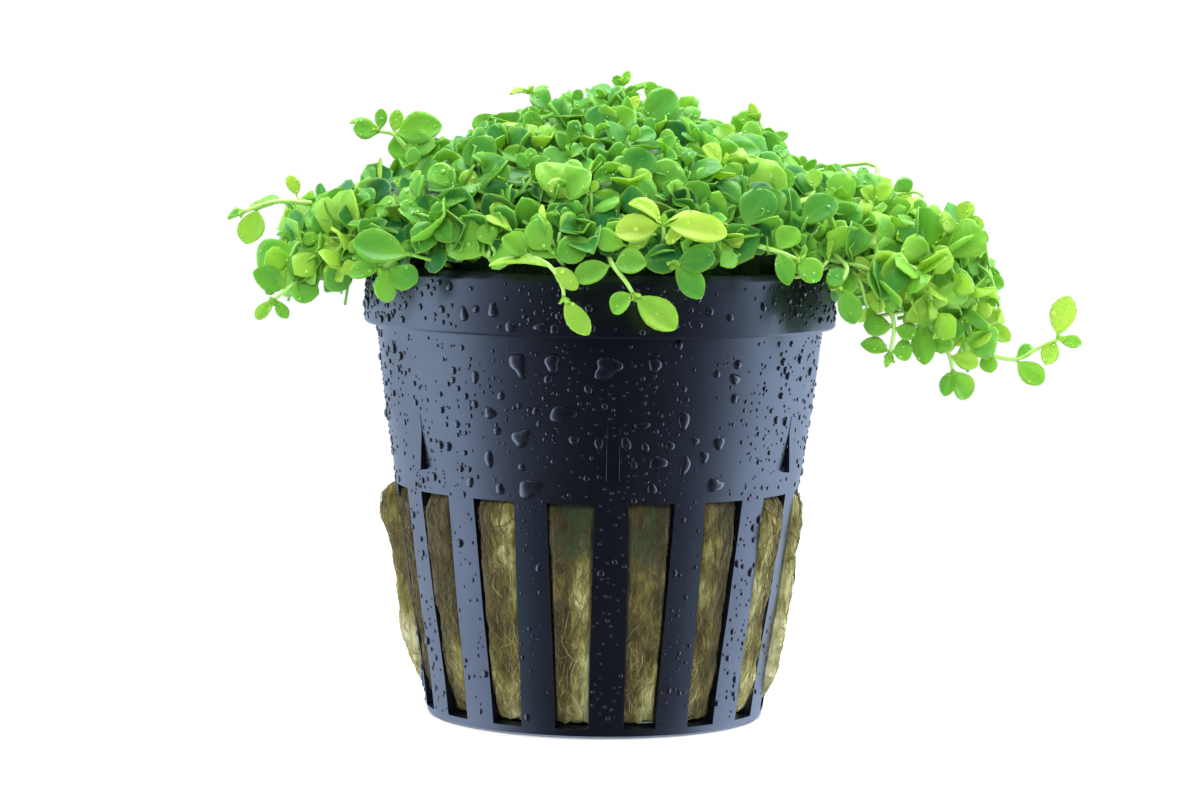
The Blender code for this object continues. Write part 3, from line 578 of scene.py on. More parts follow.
def ramp(tree, source, *stops):
    """A colour ramp of (place, colour) stops."""
    made = tree.nodes.new("ShaderNodeValToRGB")
    elements = made.color_ramp.elements
    while len(elements) < len(stops):
        elements.new(0.5)
    for element, (place, colour) in zip(elements, stops):
        element.position = place
        element.color = (*colour, 1.0)
    tree.links.new(source, made.inputs["Fac"])
    return made.outputs["Color"]


def mix(tree, factor, first, second, blend="MIX"):
    """Two colours mixed by a factor. Each may be a socket or a value."""
    made = tree.nodes.new("ShaderNodeMix")
    made.data_type = "RGBA"
    made.blend_type = blend
    for socket, value in ((made.inputs[0], factor), (made.inputs[6], first), (made.inputs[7], second)):
        if isinstance(value, bpy.types.NodeSocket):
            tree.links.new(value, socket)
        elif isinstance(value, tuple):
            socket.default_value = (*value, 1.0)
        else:
            socket.default_value = value
    return made.outputs[2]


def maths(tree, operation, first, second=0.0):
    made = tree.nodes.new("ShaderNodeMath")
    made.operation = operation
    for socket, value in zip(made.inputs, (first, second)):
        if isinstance(value, bpy.types.NodeSocket):
            tree.links.new(value, socket)
        else:
            socket.default_value = value
    return made.outputs[0]


def noise_value(tree, scale, detail=3.0, roughness=0.5, stretch=(1.0, 1.0, 1.0)):
    """Noise over the object's own coordinates. The scale is per metre."""
    place = tree.nodes.new("ShaderNodeTexCoord")
    mapping = tree.nodes.new("ShaderNodeMapping")
    mapping.inputs["Scale"].default_value = stretch
    tree.links.new(place.outputs["Object"], mapping.inputs["Vector"])
    made = node(tree, "ShaderNodeTexNoise", scale=scale, detail=detail, roughness=roughness)
    tree.links.new(mapping.outputs["Vector"], made.inputs["Vector"])
    return made.outputs["Fac"]


def bump(tree, shader, height, strength, distance):
    made = tree.nodes.new("ShaderNodeBump")
    made.inputs["Strength"].default_value = strength
    made.inputs["Distance"].default_value = distance
    tree.links.new(height, made.inputs["Height"])
    tree.links.new(made.outputs["Normal"], shader.inputs["Normal"])
    return made


def mask_channels(tree):
    """The red, green and blue channels of the mesh's mask."""
    attribute = tree.nodes.new("ShaderNodeAttribute")
    attribute.attribute_name = "mask"
    split = tree.nodes.new("ShaderNodeSeparateColor")
    tree.links.new(attribute.outputs["Color"], split.inputs["Color"])
    return split.outputs[0], split.outputs[1], split.outputs[2]


def leaf_colour(tree, tone):
    """Deep green at 0, through leaf green, to pale lime at 1."""
    return ramp(
        tree, tone,
        (0.0, (0.004, 0.052, 0.022)),
        (0.25, (0.020, 0.190, 0.048)),
        (0.5, (0.100, 0.375, 0.050)),
        (0.72, (0.220, 0.520, 0.060)),
        (1.0, (0.500, 0.690, 0.110)),
    )


def leaf_material(name, see_through):
    """Glossy leaf blade: its tone from the mask, with painted backlight along its margin, a paler base, and light
    through it.
    """
    made, tree, shader = new_material(name)
    tone, margin, along = mask_channels(tree)
    patches = noise_value(tree, 420.0, detail=4.0)
    shifted = maths(tree, "ADD", tone, maths(tree, "MULTIPLY", maths(tree, "SUBTRACT", patches, 0.5), 0.28))
    colour = leaf_colour(tree, shifted)
    # Painted backlight: the leaf's margin is mixed towards pale lime.
    edge = maths(tree, "MULTIPLY", maths(tree, "POWER", margin, 9.0), 0.45)
    colour = mix(tree, edge, colour, (0.36, 0.68, 0.09))
    rib = maths(tree, "MULTIPLY", maths(tree, "POWER", maths(tree, "SUBTRACT", 1.0, margin), 12.0), 0.22)
    colour = mix(tree, rib, colour, (0.30, 0.62, 0.08))
    base = maths(tree, "MULTIPLY", maths(tree, "POWER", maths(tree, "SUBTRACT", 1.0, along), 4.0), 0.4)
    colour = mix(tree, base, colour, (0.36, 0.68, 0.08))
    tree.links.new(colour, shader.inputs["Base Color"])
    gloss = ramp(tree, noise_value(tree, 900.0), (0.3, (0.22, 0.22, 0.22)), (0.7, (0.40, 0.40, 0.40)))
    tree.links.new(gloss, shader.inputs["Roughness"])
    shader.inputs["Specular IOR Level"].default_value = 0.35
    bump(tree, shader, noise_value(tree, 1100.0, detail=5.0), 0.35, 0.00016)
    through = tree.nodes.new("ShaderNodeBsdfTranslucent")
    tree.links.new(mix(tree, 0.55, colour, (0.62, 0.82, 0.15)), through.inputs["Color"])
    blend = tree.nodes.new("ShaderNodeMixShader")
    blend.inputs["Fac"].default_value = see_through
    tree.links.new(shader.outputs["BSDF"], blend.inputs[1])
    tree.links.new(through.outputs["BSDF"], blend.inputs[2])
    tree.links.new(blend.outputs["Shader"], tree.nodes["Material Output"].inputs["Surface"])
    return made


def stem_material():
    made, tree, shader = new_material("pale_stem")
    tone, _, _ = mask_channels(tree)
    streaks = noise_value(tree, 700.0)
    shifted = maths(tree, "ADD", tone, maths(tree, "MULTIPLY", maths(tree, "SUBTRACT", streaks, 0.5), 0.3))
    colour = ramp(
        tree, shifted,
        (0.0, (0.020, 0.090, 0.012)),
        (0.45, (0.160, 0.420, 0.050)),
        (1.0, (0.480, 0.740, 0.200)),
    )
    tree.links.new(colour, shader.inputs["Base Color"])
    shader.inputs["Roughness"].default_value = 0.35
    shader.inputs["Subsurface Weight"].default_value = 0.0
    bump(tree, shader, noise_value(tree, 2500.0), 0.2, 0.00005)
    return made


def shade_core_material():
    """Painted shade: stems and roots deep in the mat as a near-black green, darkened for the shade there."""
    made, tree, shader = new_material("mat_shade_core")
    colour = ramp(
        tree, noise_value(tree, 900.0, detail=6.0, roughness=0.7),
        (0.3, (0.004, 0.012, 0.003)),
        (0.5, (0.010, 0.040, 0.006)),
        (0.7, (0.028, 0.090, 0.012)),
    )
    tree.links.new(colour, shader.inputs["Base Color"])
    shader.inputs["Roughness"].default_value = 0.8
    bump(tree, shader, noise_value(tree, 1500.0, detail=6.0), 0.8, 0.0008)
    return made


def plastic_material():
    """Moulded black plastic with a blue cast, faint flow marks and wiped patches in its gloss."""
    made, tree, shader = new_material("net_pot_plastic")
    flow = noise_value(tree, 60.0, detail=4.0, stretch=(1.0, 1.0, 0.35))
    colour = ramp(tree, flow, (0.35, (0.0012, 0.0016, 0.0038)), (0.65, (0.0022, 0.0027, 0.0058)))
    tree.links.new(colour, shader.inputs["Base Color"])
    gloss = ramp(
        tree, noise_value(tree, 130.0, detail=6.0, roughness=0.6),
        (0.3, (0.27, 0.27, 0.27)),
        (0.7, (0.38, 0.38, 0.38)),
    )
    tree.links.new(gloss, shader.inputs["Roughness"])
    shader.inputs["Specular IOR Level"].default_value = 0.8
    shader.inputs["Specular Tint"].default_value = (0.85, 0.9, 1.0, 1.0)
    bump(tree, shader, noise_value(tree, 2600.0, detail=3.0), 0.08, 0.00008)
    return made


def wool_material():
    """Rockwool: khaki wool from the mask, with painted shade in its creases and painted light on its ridges, a tone
    of random patches with painted light and shade, and green algae.
    """
    made, tree, shader = new_material("rockwool_fibre")
    fold_shade, algae, tone = mask_channels(tree)
    grain = noise_value(tree, 700.0, detail=8.0, roughness=0.75, stretch=(1.0, 1.0, 0.22))
    fine = noise_value(tree, 2600.0, detail=4.0, roughness=0.7, stretch=(1.0, 1.0, 0.3))
    grains = maths(tree, "ADD", maths(tree, "MULTIPLY", grain, 0.75), maths(tree, "MULTIPLY", fine, 0.6))
    grains = maths(tree, "SUBTRACT", grains, 0.38)
    # Painted shade in the creases and painted light on the ridges, from the mask's first channel.
    level = maths(tree, "ADD", maths(tree, "MULTIPLY", fold_shade, 0.48), grains)
    # The mask's tone adds random patches and painted light and shade by height and slot side.
    level = maths(tree, "ADD", level, maths(tree, "MULTIPLY", maths(tree, "SUBTRACT", tone, 0.5), 0.65))
    colour = ramp(
        tree, level,
        (0.26, (0.010, 0.006, 0.002)),
        (0.43, (0.034, 0.025, 0.006)),
        (0.57, (0.086, 0.077, 0.014)),
        (0.74, (0.215, 0.215, 0.078)),
        (1.0, (0.500, 0.490, 0.300)),
    )
    colour = mix(tree, algae, colour, (0.005, 0.030, 0.012))
    tree.links.new(colour, shader.inputs["Base Color"])
    shader.inputs["Roughness"].default_value = 0.9
    shader.inputs["Specular IOR Level"].default_value = 0.2
    shader.inputs["Sheen Weight"].default_value = 0.3
    shader.inputs["Sheen Roughness"].default_value = 0.6
    shader.inputs["Sheen Tint"].default_value = (0.75, 0.68, 0.38, 1.0)
    strands = noise_value(tree, 1800.0, detail=6.0, roughness=0.7, stretch=(1.0, 1.0, 0.16))
    bump(tree, shader, strands, 0.9, 0.0005)
    return made


def bead_material(name, on_leaf):
    """A drop with a hard gloss that takes the colour of what it sits on."""
    made, tree, shader = new_material(name)
    if on_leaf:
        tone, _, _ = mask_channels(tree)
        shade = leaf_colour(tree, tone)
    else:
        shade = ramp(tree, noise_value(tree, 300.0), (0.3, (0.0030, 0.0034, 0.0062)), (0.7, (0.0050, 0.0056, 0.0100)))
    tree.links.new(shade, shader.inputs["Base Color"])
    shader.inputs["Roughness"].default_value = 0.07
    shader.inputs["IOR"].default_value = 1.5
    shader.inputs["Specular IOR Level"].default_value = 0.8
    return made


# Leaves and stems

def outline(share):
    """A leaf's half-width at a share of its blade: round, and widest past its middle."""
    return np.sin(np.pi * share ** 1.25) ** 0.52


class LeafGrid:
    """The places and faces that every leaf of one fineness shares."""

    def __init__(self, rows, columns):
        turns = (1 - np.cos(np.pi * np.arange(rows + 1) / rows)) / 2
        self.along = np.concatenate(([0.0, 0.08], 0.12 + 0.88 * turns))
        self.blade = np.clip((self.along - 0.12) / 0.88, 0.0, 1.0)
        half = outline(np.clip(self.blade, 0.0, 1.0))
        self.half = np.where(self.along <= 0.121, 0.1, np.maximum(half, 0.1))
        self.across = np.linspace(-1.0, 1.0, columns + 1)
        self.faces = self.closed_faces(len(self.along) - 1, columns)
        edge = np.maximum(np.abs(self.across)[None, :], (2 * self.blade - 1)[:, None] ** 5)
        self.margin = np.tile(edge.ravel(), 2)
        self.base = np.tile(np.repeat(self.blade, columns + 1), 2)

    @staticmethod
    def closed_faces(rows, columns):
        """Upper side, underside, and the margin that joins them."""
        width = columns + 1
        side = (rows + 1) * width
        faces = []
        for row in range(rows):
            for column in range(columns):
                a = row * width + column
                faces.append((a, a + 1, a + 1 + width, a + width))
                faces.append((side + a, side + a + width, side + a + 1 + width, side + a + 1))
        rim = list(range(width))
        rim += [row * width + columns for row in range(1, rows + 1)]
        rim += [rows * width + column for column in range(columns - 1, -1, -1)]
        rim += [row * width for row in range(rows - 1, 0, -1)]
        faces += [(b, a, side + a, side + b) for a, b in zip(rim, rim[1:] + rim[:1])]
        return faces


FINE = LeafGrid(8, 6)
COARSE = LeafGrid(5, 4)
drop_places = []


def add_leaf(pile, base, tip, width, face, tone, rng, grid=COARSE, finish=0):
    """One leaf from its base to its tip, with its upper side towards face."""
    along = tip - base
    length = along.length
    along.normalize()
    across = along.cross(face)
    if across.length < 0.05:
        across = along.orthogonal()
    across.normalize()
    normal = across.cross(along)
    cup = rng.uniform(-0.3, 0.6)
    arch = rng.uniform(-0.5, 1.1)
    point = rng.uniform(-0.1, 0.2 if grid is FINE else 0.4)
    fold = rng.uniform(0.02, 0.16)
    wave = rng.uniform(-0.22, 0.22)
    skew = rng.uniform(-0.12, 0.12)
    phase = rng.uniform(0.0, 2 * math.pi)
    s = grid.along
    half = width / 2 * grid.half * (1.0 - point * s ** 4)
    x = half[:, None] * grid.across[None, :]
    x = x + skew * length * (s * s)[:, None]
    bend = max(abs(arch), 0.01) * (1 if arch >= 0 else -1)
    chord = 2 * math.sin(bend / 2) / bend
    y = length / chord * np.sin(bend * s) / bend
    z = -length / chord * (1 - np.cos(bend * s)) / bend
    swing_cos, swing_sin = math.cos(bend / 2), math.sin(bend / 2)
    y, z = y * swing_cos - z * swing_sin, y * swing_sin + z * swing_cos
    out = np.abs(grid.across)
    lift = half[:, None] * (cup * out ** 2 + fold * out)[None, :]
    ripple = wave * half[:, None] * np.sin(7 * s + phase)[:, None] * (grid.across ** 3)[None, :]
    y = np.repeat(y[:, None], len(out), axis=1)
    top = z[:, None] + lift + ripple
    thin = LEAF_THICKNESS * (1 - 0.55 * out ** 3)[None, :] * np.clip(width / 2.4, 0.6, 1.0)
    upper = np.stack([x, y, top], axis=-1).reshape(-1, 3)
    lower = np.stack([x, y, top - thin], axis=-1).reshape(-1, 3)
    turn = np.array([across, along, normal])
    points = np.concatenate([upper, lower]) @ turn + np.array(base)
    mask = np.stack([np.full(len(points), tone), grid.margin, grid.base], axis=-1)
    pile.add(points, grid.faces, mask, finish)
    if normal.z > -0.2:
        for _ in range(5 if grid is FINE else 2):
            spot = len(out) * rng.randint(3, len(s) - 3) + rng.randint(1, len(out) - 2)
            drop_places.append((Vector(points[spot]), normal.copy(), width, tone))


def smooth_route(points, steps):
    """Points along a smooth curve through the route's points."""
    points = [Vector(p) for p in points]
    ends = [2 * points[0] - points[1], *points, 2 * points[-1] - points[-2]]
    route = []
    for a, b, c, d in zip(ends, ends[1:], ends[2:], ends[3:]):
        for step in range(steps):
            t = step / steps
            route.append(
                0.5 * (2 * b + (c - a) * t + (2 * a - 5 * b + 4 * c - d) * t * t
                       + (3 * b - a - 3 * c + d) * t ** 3)
            )
    route.append(points[-1])
    return route


def add_tube(pile, route, radii, sides, mask, finish=0):
    """A closed tube along a route, with a radius at each of its points."""
    side = None
    points = []
    for index, here in enumerate(route):
        ahead = route[min(index + 1, len(route) - 1)] - route[max(index - 1, 0)]
        ahead.normalize()
        if side is None:
            side = ahead.orthogonal().normalized()
        side = (side - ahead * side.dot(ahead)).normalized()
        other = ahead.cross(side)
        for corner in range(sides):
            angle = 2 * math.pi * corner / sides
            points.append(here + (side * math.cos(angle) + other * math.sin(angle)) * radii[index])
    faces = []
    for ring in range(len(route) - 1):
        for corner in range(sides):
            a = ring * sides + corner
            b = ring * sides + (corner + 1) % sides
            faces.append((a, b, b + sides, a + sides))
    faces.append(tuple(range(sides - 1, -1, -1)))
    last = (len(route) - 1) * sides
    faces.append(tuple(range(last, last + sides)))
    pile.add([tuple(p) for p in points], faces, mask, finish)


def add_stem(pile, route, tone, radius=STEM_RADIUS, finish=1):
    radii = [radius * (1.0 - 0.35 * index / len(route)) for index in range(len(route))]
    add_tube(pile, route, radii, 6, (tone, 0.0, 0.5), finish)


# The mound's surface

def mound_edge(azimuth):
    """Reach, edge height and underside height of the mound at an azimuth."""
    table = np.array(MOUND_EDGES)
    return [float(np.interp(azimuth % 360.0, table[:, 0], table[:, column])) for column in (1, 2, 3)]


def mound_point(azimuth, share):
    reach, edge, _ = mound_edge(azimuth)
    rise = float(np.interp(share, MOUND_SHARES, MOUND_RISES))
    return at(azimuth, reach * share, edge + (MOUND_CROWN - edge) * rise)


def mound_normal(azimuth, share):
    """The way out of the mound's upper surface."""
    inner = mound_point(azimuth, max(share - 0.06, 0.0))
    outer = mound_point(azimuth, min(share + 0.06, 1.0))
    side = mound_point(azimuth + 4, max(share, 0.08)) - mound_point(azimuth - 4, max(share, 0.08))
    normal = (outer - inner).cross(side)
    if normal.z < 0:
        normal.negate()
    return normal.normalized()


def outside_mound(point):
    """How far a point is out of the mound, negative inside."""
    azimuth = math.degrees(math.atan2(point.x, -point.y))
    radius = math.hypot(point.x, point.y)
    reach, edge, under = mound_edge(azimuth)
    rise = float(np.interp(min(radius / reach, 1.0), MOUND_SHARES, MOUND_RISES))
    top = edge + (MOUND_CROWN - edge) * rise
    return max(point.z - top, under - point.z, radius - reach)


def mound_depth(px, py):
    """Y of the mound's surface behind a pixel, or where the ray passes closest to it."""
    best = None
    for step in range(200):
        depth = -42.0 + step * 0.35
        gap = outside_mound(photo_point(px, py, depth))
        if gap <= 0:
            return depth
        if best is None or gap < best[0]:
            best = (gap, depth)
    return best[1]


# Foliage

def sprig_piece(name, leaf, stem):
    """One named sprig: its stem, its placed leaves and a few small ones at its tip."""
    points, leaves = SPRIGS[name]
    rng = random.Random(name)
    pile = Pile()
    route = smooth_route(points, 5)
    add_stem(pile, route, 0.75)
    for joint, way, width, face, tone in leaves:
        base = Vector(points[joint])
        add_leaf(pile, base, base + Vector(way), width, Vector(face), tone, rng, FINE)
    tip = Vector(points[-1])
    ahead = (tip - Vector(points[-2])).normalized()
    for turn in range(3):
        side = Matrix.Rotation(turn * 2.1 + 0.6, 3, ahead) @ ahead.orthogonal().normalized()
        bud = tip + (ahead * 0.9 + side * 0.7) * rng.uniform(0.7, 1.2)
        add_leaf(pile, tip, bud, rng.uniform(0.6, 0.95), ahead - side, 0.8, rng, COARSE)
    piece = pile.make(name + "_leaves", leaf, stem)
    return ride(piece, "sprig", name)


JOINTS = (
    # Distance back from the shoot's tip, leaf length, and how far its leaves stand up along the shoot
    (0.1, 2.6, 0.9),
    (1.9, 4.8, 0.6),
    (4.5, 6.2, 0.35),
    (7.4, 6.4, 0.2),
    (10.0, 5.6, 0.1),
)


def back_along(route, distance):
    """The point at a distance back from a route's end, and the way ahead there."""
    left = distance
    for here, before in zip(route[::-1], route[-2::-1]):
        step = (here - before).length
        if left <= step:
            return here + (before - here) * (left / step), (here - before).normalized()
        left -= step
    return route[0], (route[1] - route[0]).normalized()


def outlook(point):
    """The level way that leaves look: outward, and more to the front on the front half."""
    way = Vector((point.x, point.y, 0.0))
    strength = min(0.2 + 0.035 * way.length, 1.3)
    if point.y < 6.0:
        way = Vector((0.3 * way.x, way.y - 20.0, 0.0))
    return way.normalized() * strength


def in_rim(point):
    """Whether a point is in the pot's rim or so close over it that a leaf there would touch it."""
    return 21.0 < math.hypot(point.x, point.y) < 27.0 and point.z < RIM_PASS + 0.3


def scatter(rng):
    """A random vector, about one long."""
    return Vector((rng.gauss(0, 0.6), rng.gauss(0, 0.6), rng.gauss(0, 0.6)))


def grow_shoot(pile, rng, points, out, joints=4, tone=0.5, size=1.0, room=3.4):
    """A shoot along a route, with pairs of leaves that turn by a quarter from joint to joint."""
    route = smooth_route(points, 4)
    add_stem(pile, route, 0.35 + 0.4 * tone, radius=0.26)
    side = Matrix.Rotation(rng.uniform(0, math.pi), 3, out) @ out.orthogonal().normalized()
    for joint in range(joints):
        distance, length, rise = JOINTS[joint]
        place, ahead = back_along(route, distance * size)
        across = (side - ahead * side.dot(ahead)).normalized()
        across = Matrix.Rotation(joint * math.pi / 2 + rng.uniform(-0.3, 0.3), 3, ahead) @ across
        for way in (across, -across):
            lean = rise + rng.uniform(-0.3, 0.3)
            reach = length * size * rng.uniform(0.78, 1.12)
            along = (way * math.cos(lean) + ahead * math.sin(lean)).normalized()
            far = place + along * reach
            level = outlook(far)
            face = (ahead * math.cos(lean) - way * math.sin(lean)) + 0.5 * out + level + 0.5 * scatter(rng)
            if outside_mound(far) > room:
                reach = reach * 0.65
                far = place + along * reach
            if in_rim(place.lerp(far, 0.5)) or in_rim(far) or not in_outline(far, 2.0):
                continue
            half = along.cross(face).normalized() * 0.4 * reach
            belly = place.lerp(far, 0.6)
            if not (in_outline(belly + half, 3.0) and in_outline(belly - half, 3.0)):
                continue
            # Leaves further back from the shoot's tip are darker: painted shade for the inner mat, and partly their
            # age.
            shade = min(max(tone - 0.06 * joint + rng.gauss(0, 0.07), 0.02), 1.0)
            # Painted backlight: leaves far out at both sides get a paler tone.
            shade = min(shade + SIDE_BACKLIGHT_PALER * max(abs(far.x) - 22.0, 0.0), 0.88)
            add_leaf(pile, place, far, reach * rng.uniform(0.72, 0.92), face, shade, rng)


def rooted(rng, tip, out, size):
    """Route of a shoot from inside the mat to its tip."""
    growth = (out + 0.8 * scatter(rng) + Vector((0, 0, 0.25))).normalized()
    back = (growth + 0.4 * scatter(rng) + Vector((0, 0, 0.2))).normalized()
    middle = tip - growth * 4.5 * size
    root = middle - back * 5.5 * size - out * 1.5
    while outside_mound(root) > -2.0:
        root = root.lerp(Vector((root.x * 0.5, root.y * 0.5, 55.0)), 0.3)
    return [root, middle, tip]


SECTORS = ("front", "right", "back", "left")


def sector_of(azimuth):
    """Index of the quarter that an azimuth lies in."""
    return int(((azimuth + 45.0) % 360.0) // 90.0)


def shoot_tone(rng):
    """Most shoots are mid green, and a few are lime or deep green."""
    tone = rng.gauss(0.5, 0.1)
    if rng.random() < 0.08:
        tone = rng.uniform(0.7, 0.88)
    elif rng.random() < 0.12:
        tone = rng.uniform(0.25, 0.35)
    return tone


def mound_pieces(leaf, stem):
    """The mound's own shoots, in four pieces by quarter."""
    rng = random.Random(SHOOT_SEED)
    piles = [Pile() for _ in SECTORS]
    golden = math.pi * (3 - math.sqrt(5))
    for index in range(SHOOT_COUNT):
        share = math.sqrt((index + 0.5) / SHOOT_COUNT) + rng.uniform(-0.03, 0.03)
        share = min(max(share, 0.0), 0.99)
        azimuth = math.degrees(index * golden) + rng.uniform(-5, 5)
        out = mound_normal(azimuth, share)
        tip = mound_point(azimuth, share) + out * rng.uniform(-0.8, 1.2)
        while not in_outline(tip, -6.0) and outside_mound(tip) > -4.0:
            tip = tip - out * 0.5
        size = rng.uniform(0.8, 1.1)
        route = rooted(rng, tip, out, size)
        grow_shoot(piles[sector_of(azimuth)], rng, route, out, 4, shoot_tone(rng), size)
    for index in range(EDGE_SHOOTS):
        azimuth = 360.0 * (index + rng.uniform(-0.3, 0.3)) / EDGE_SHOOTS
        reach, edge, under = mound_edge(azimuth)
        height = rng.uniform(under + 1.2, edge + 1.0)
        out = at(azimuth, 1.0, 0.0) + Vector((0, 0, rng.uniform(-0.2, 0.5)))
        if out.y < 0.2:
            out.y -= 0.9
        out.normalize()
        tip = at(azimuth, reach - rng.uniform(0.2, 1.4), height)
        size = rng.uniform(0.7, 0.95)
        root = at(azimuth + rng.uniform(-9, 9), reach - 9.0, min(edge + 2.0, 54.0))
        middle = root.lerp(tip, 0.5) + Vector((0, 0, rng.uniform(0.3, 1.2)))
        grow_shoot(piles[sector_of(azimuth)], rng, [root, middle, tip], out, 3, shoot_tone(rng), size)
    for px, py, depth, reach_in in HANGING_TIPS:
        tip = photo_point(px, py, depth)
        hang_shoot(piles, rng, tip, reach_in, 1.4)
    for azimuth, radius, height in HANGING_BEHIND:
        hang_shoot(piles, rng, at(azimuth, radius, height), 6.0)
    for name, pile in zip(SECTORS, piles):
        ride(pile.make("mound_leaves_" + name, leaf, stem), "leaf", "leaf_mound")


def hang_shoot(piles, rng, tip, reach_in, towards_front=0.0):
    """A shoot that leaves the mound's edge and hangs down to its tip."""
    azimuth = math.degrees(math.atan2(tip.x, -tip.y))
    radius = math.hypot(tip.x, tip.y)
    root = at(azimuth + rng.uniform(-4, 4), radius - reach_in, 50.6)
    over = at(azimuth, radius - 0.25 * reach_in, max(49.0, tip.z + 3.0))
    out = (at(azimuth, 1.0, 0.0) + Vector((0, -towards_front, 0.3))).normalized()
    route = [root, over, tip]
    grow_shoot(piles[sector_of(azimuth)], rng, route, out, 4, shoot_tone(rng) + 0.04, 0.8, 12.0)


def front_leaf_piece(leaf, stem):
    """The leaves that stand out on the front, each on a short stalk from inside the mat."""
    rng = random.Random(3)
    pile = Pile()
    for start, end, width, face, proud, tone in FRONT_LEAVES:
        base_depth = mound_depth(*start) - 0.55 * proud
        tip_depth = mound_depth(*end) - proud
        tip_depth = min(max(tip_depth, base_depth - 2.2), base_depth + 1.2)
        base = photo_point(*start, base_depth)
        tip = photo_point(*end, tip_depth)
        add_leaf(pile, base, tip, width * PIXEL, Vector(face), tone, rng, FINE)
        away = Vector((-base.x * 0.35, -base.y * 0.35, -2.5)).normalized()
        back = base + (base - tip).normalized() * 0.9 + away * 1.4
        add_stem(pile, smooth_route([back + away * 3.2, back, base], 3), tone, radius=0.24)
    ride(pile.make("front_leaves", leaf, stem), "leaf", "leaf_mound")


def shade_core_piece(finish):
    """Painted shade: a dark sheet inside the mat, from the plug's top to below the leaves, for the shade between the
    leaves.
    """
    columns = 96
    pile = Pile()
    rings = []
    for radius_share, height in ((0.0, MOUND_FOOT), (1.0, MOUND_FOOT), (1.0, RIM_PASS - 0.3)):
        rings.append([at(360.0 * c / columns, THROAT * radius_share + 0.01, height) for c in range(columns)])
    under_ring, side_ring = [], []
    for column in range(columns):
        azimuth = 360.0 * column / columns
        reach, edge, under = mound_edge(azimuth)
        wall = max(reach - 4.6, THROAT + 0.2)
        sag = RIM_PASS + 0.2 if wall < 26.4 else max(under + 1.6, RIM_PASS - 1.4)
        under_ring.append(at(azimuth, wall, max(sag, RIM_PASS if wall < 27 else sag)))
        side_ring.append(at(azimuth, wall + 0.4, edge + 0.2))
    rings += [under_ring, side_ring]
    for share in (0.8, 0.66, 0.52, 0.38, 0.24, 0.1, 0.0):
        ring = []
        for column in range(columns):
            azimuth = 360.0 * column / columns
            place = mound_point(azimuth, share) - mound_normal(azimuth, share) * 3.6
            bumpy = noise.noise(place * 0.35) * 1.0 + noise.noise(place * 0.9) * 0.5
            ring.append(place + Vector((0, 0, bumpy if share > 0.05 else 0.0)))
        rings.append(ring)
    points = [tuple(p) for ring in rings for p in ring]
    faces = []
    for ring in range(len(rings) - 1):
        for column in range(columns):
            a = ring * columns + column
            b = ring * columns + (column + 1) % columns
            faces.append((a, b, b + columns, a + columns))
    pile.add(points, faces)
    piece = pile.make("mat_shade_core", finish)
    ride(piece, "leaf", "leaf_mound")


# Pot

def rib_half_width(height):
    share = min(max((height - SLOT_FOOT) / (SLOT_HEAD - SLOT_FOOT), 0.0), 1.0)
    return (RIB_WIDTH_FOOT + (RIB_WIDTH_HEAD - RIB_WIDTH_FOOT) * share) / 2


def profile_radius(height):
    """Radius of the pot's outer profile at a height."""
    heights = [z for _, z in POT_PROFILE[2:14]]
    radii = [r for r, _ in POT_PROFILE[2:14]]
    return float(np.interp(height, heights, radii))


def pot_azimuths(height):
    pitch = 360.0 / RIB_COUNT
    half = rib_half_width(height)
    slot_width = pitch - 2 * half
    azimuths = []
    for rib in range(RIB_COUNT):
        centre = RIB_AZIMUTH + rib * pitch
        azimuths += [centre - half + 2 * half * line / RIB_FACES for line in range(RIB_FACES)]
        azimuths += [centre + half + slot_width * line / SLOT_FACES for line in range(SLOT_FACES)]
    return azimuths


def pot_piece(finish):
    """The pot's wall, cage, collar and base, with softened edges."""
    per_pitch = RIB_FACES + SLOT_FACES
    columns = RIB_COUNT * per_pitch
    pile = Pile()
    points = [tuple(at(a, radius, height)) for radius, height in POT_PROFILE for a in pot_azimuths(height)]
    hub = len(points)
    points.append((0.0, 0.0, 0.0))
    faces = [(hub, (column + 1) % columns, column) for column in range(columns)]
    for row in range(len(POT_PROFILE) - 1):
        foot, head = POT_PROFILE[row][1], POT_PROFILE[row + 1][1]
        in_cage = SLOT_FOOT <= foot and head <= SLOT_HEAD
        for column in range(columns):
            is_slot = column % per_pitch >= RIB_FACES
            pitch_place = column % (columns // BASE_SLOTS)
            is_drain = per_pitch * 0.5 <= pitch_place < per_pitch * 1.5
            if in_cage and is_slot or row == 0 and is_drain:
                continue
            a = row * columns + column
            b = row * columns + (column + 1) % columns
            faces.append((a, b, b + columns, a + columns))
    pile.add(points, faces)
    pot = pile.make("net_pot_wall", finish)
    pot.data.set_sharp_from_angle(angle=math.radians(28))
    wall = pot.modifiers.new("wall", "SOLIDIFY")
    wall.thickness = POT_WALL * MM
    wall.offset = -1.0
    wall.use_even_offset = True
    edges = pot.modifiers.new("edges", "BEVEL")
    edges.width = POT_BEVEL * MM
    edges.segments = 2
    edges.limit_method = "ANGLE"
    edges.angle_limit = math.radians(40)
    edges.harden_normals = True
    return ride(pot, "pot_plastic", "net_pot")


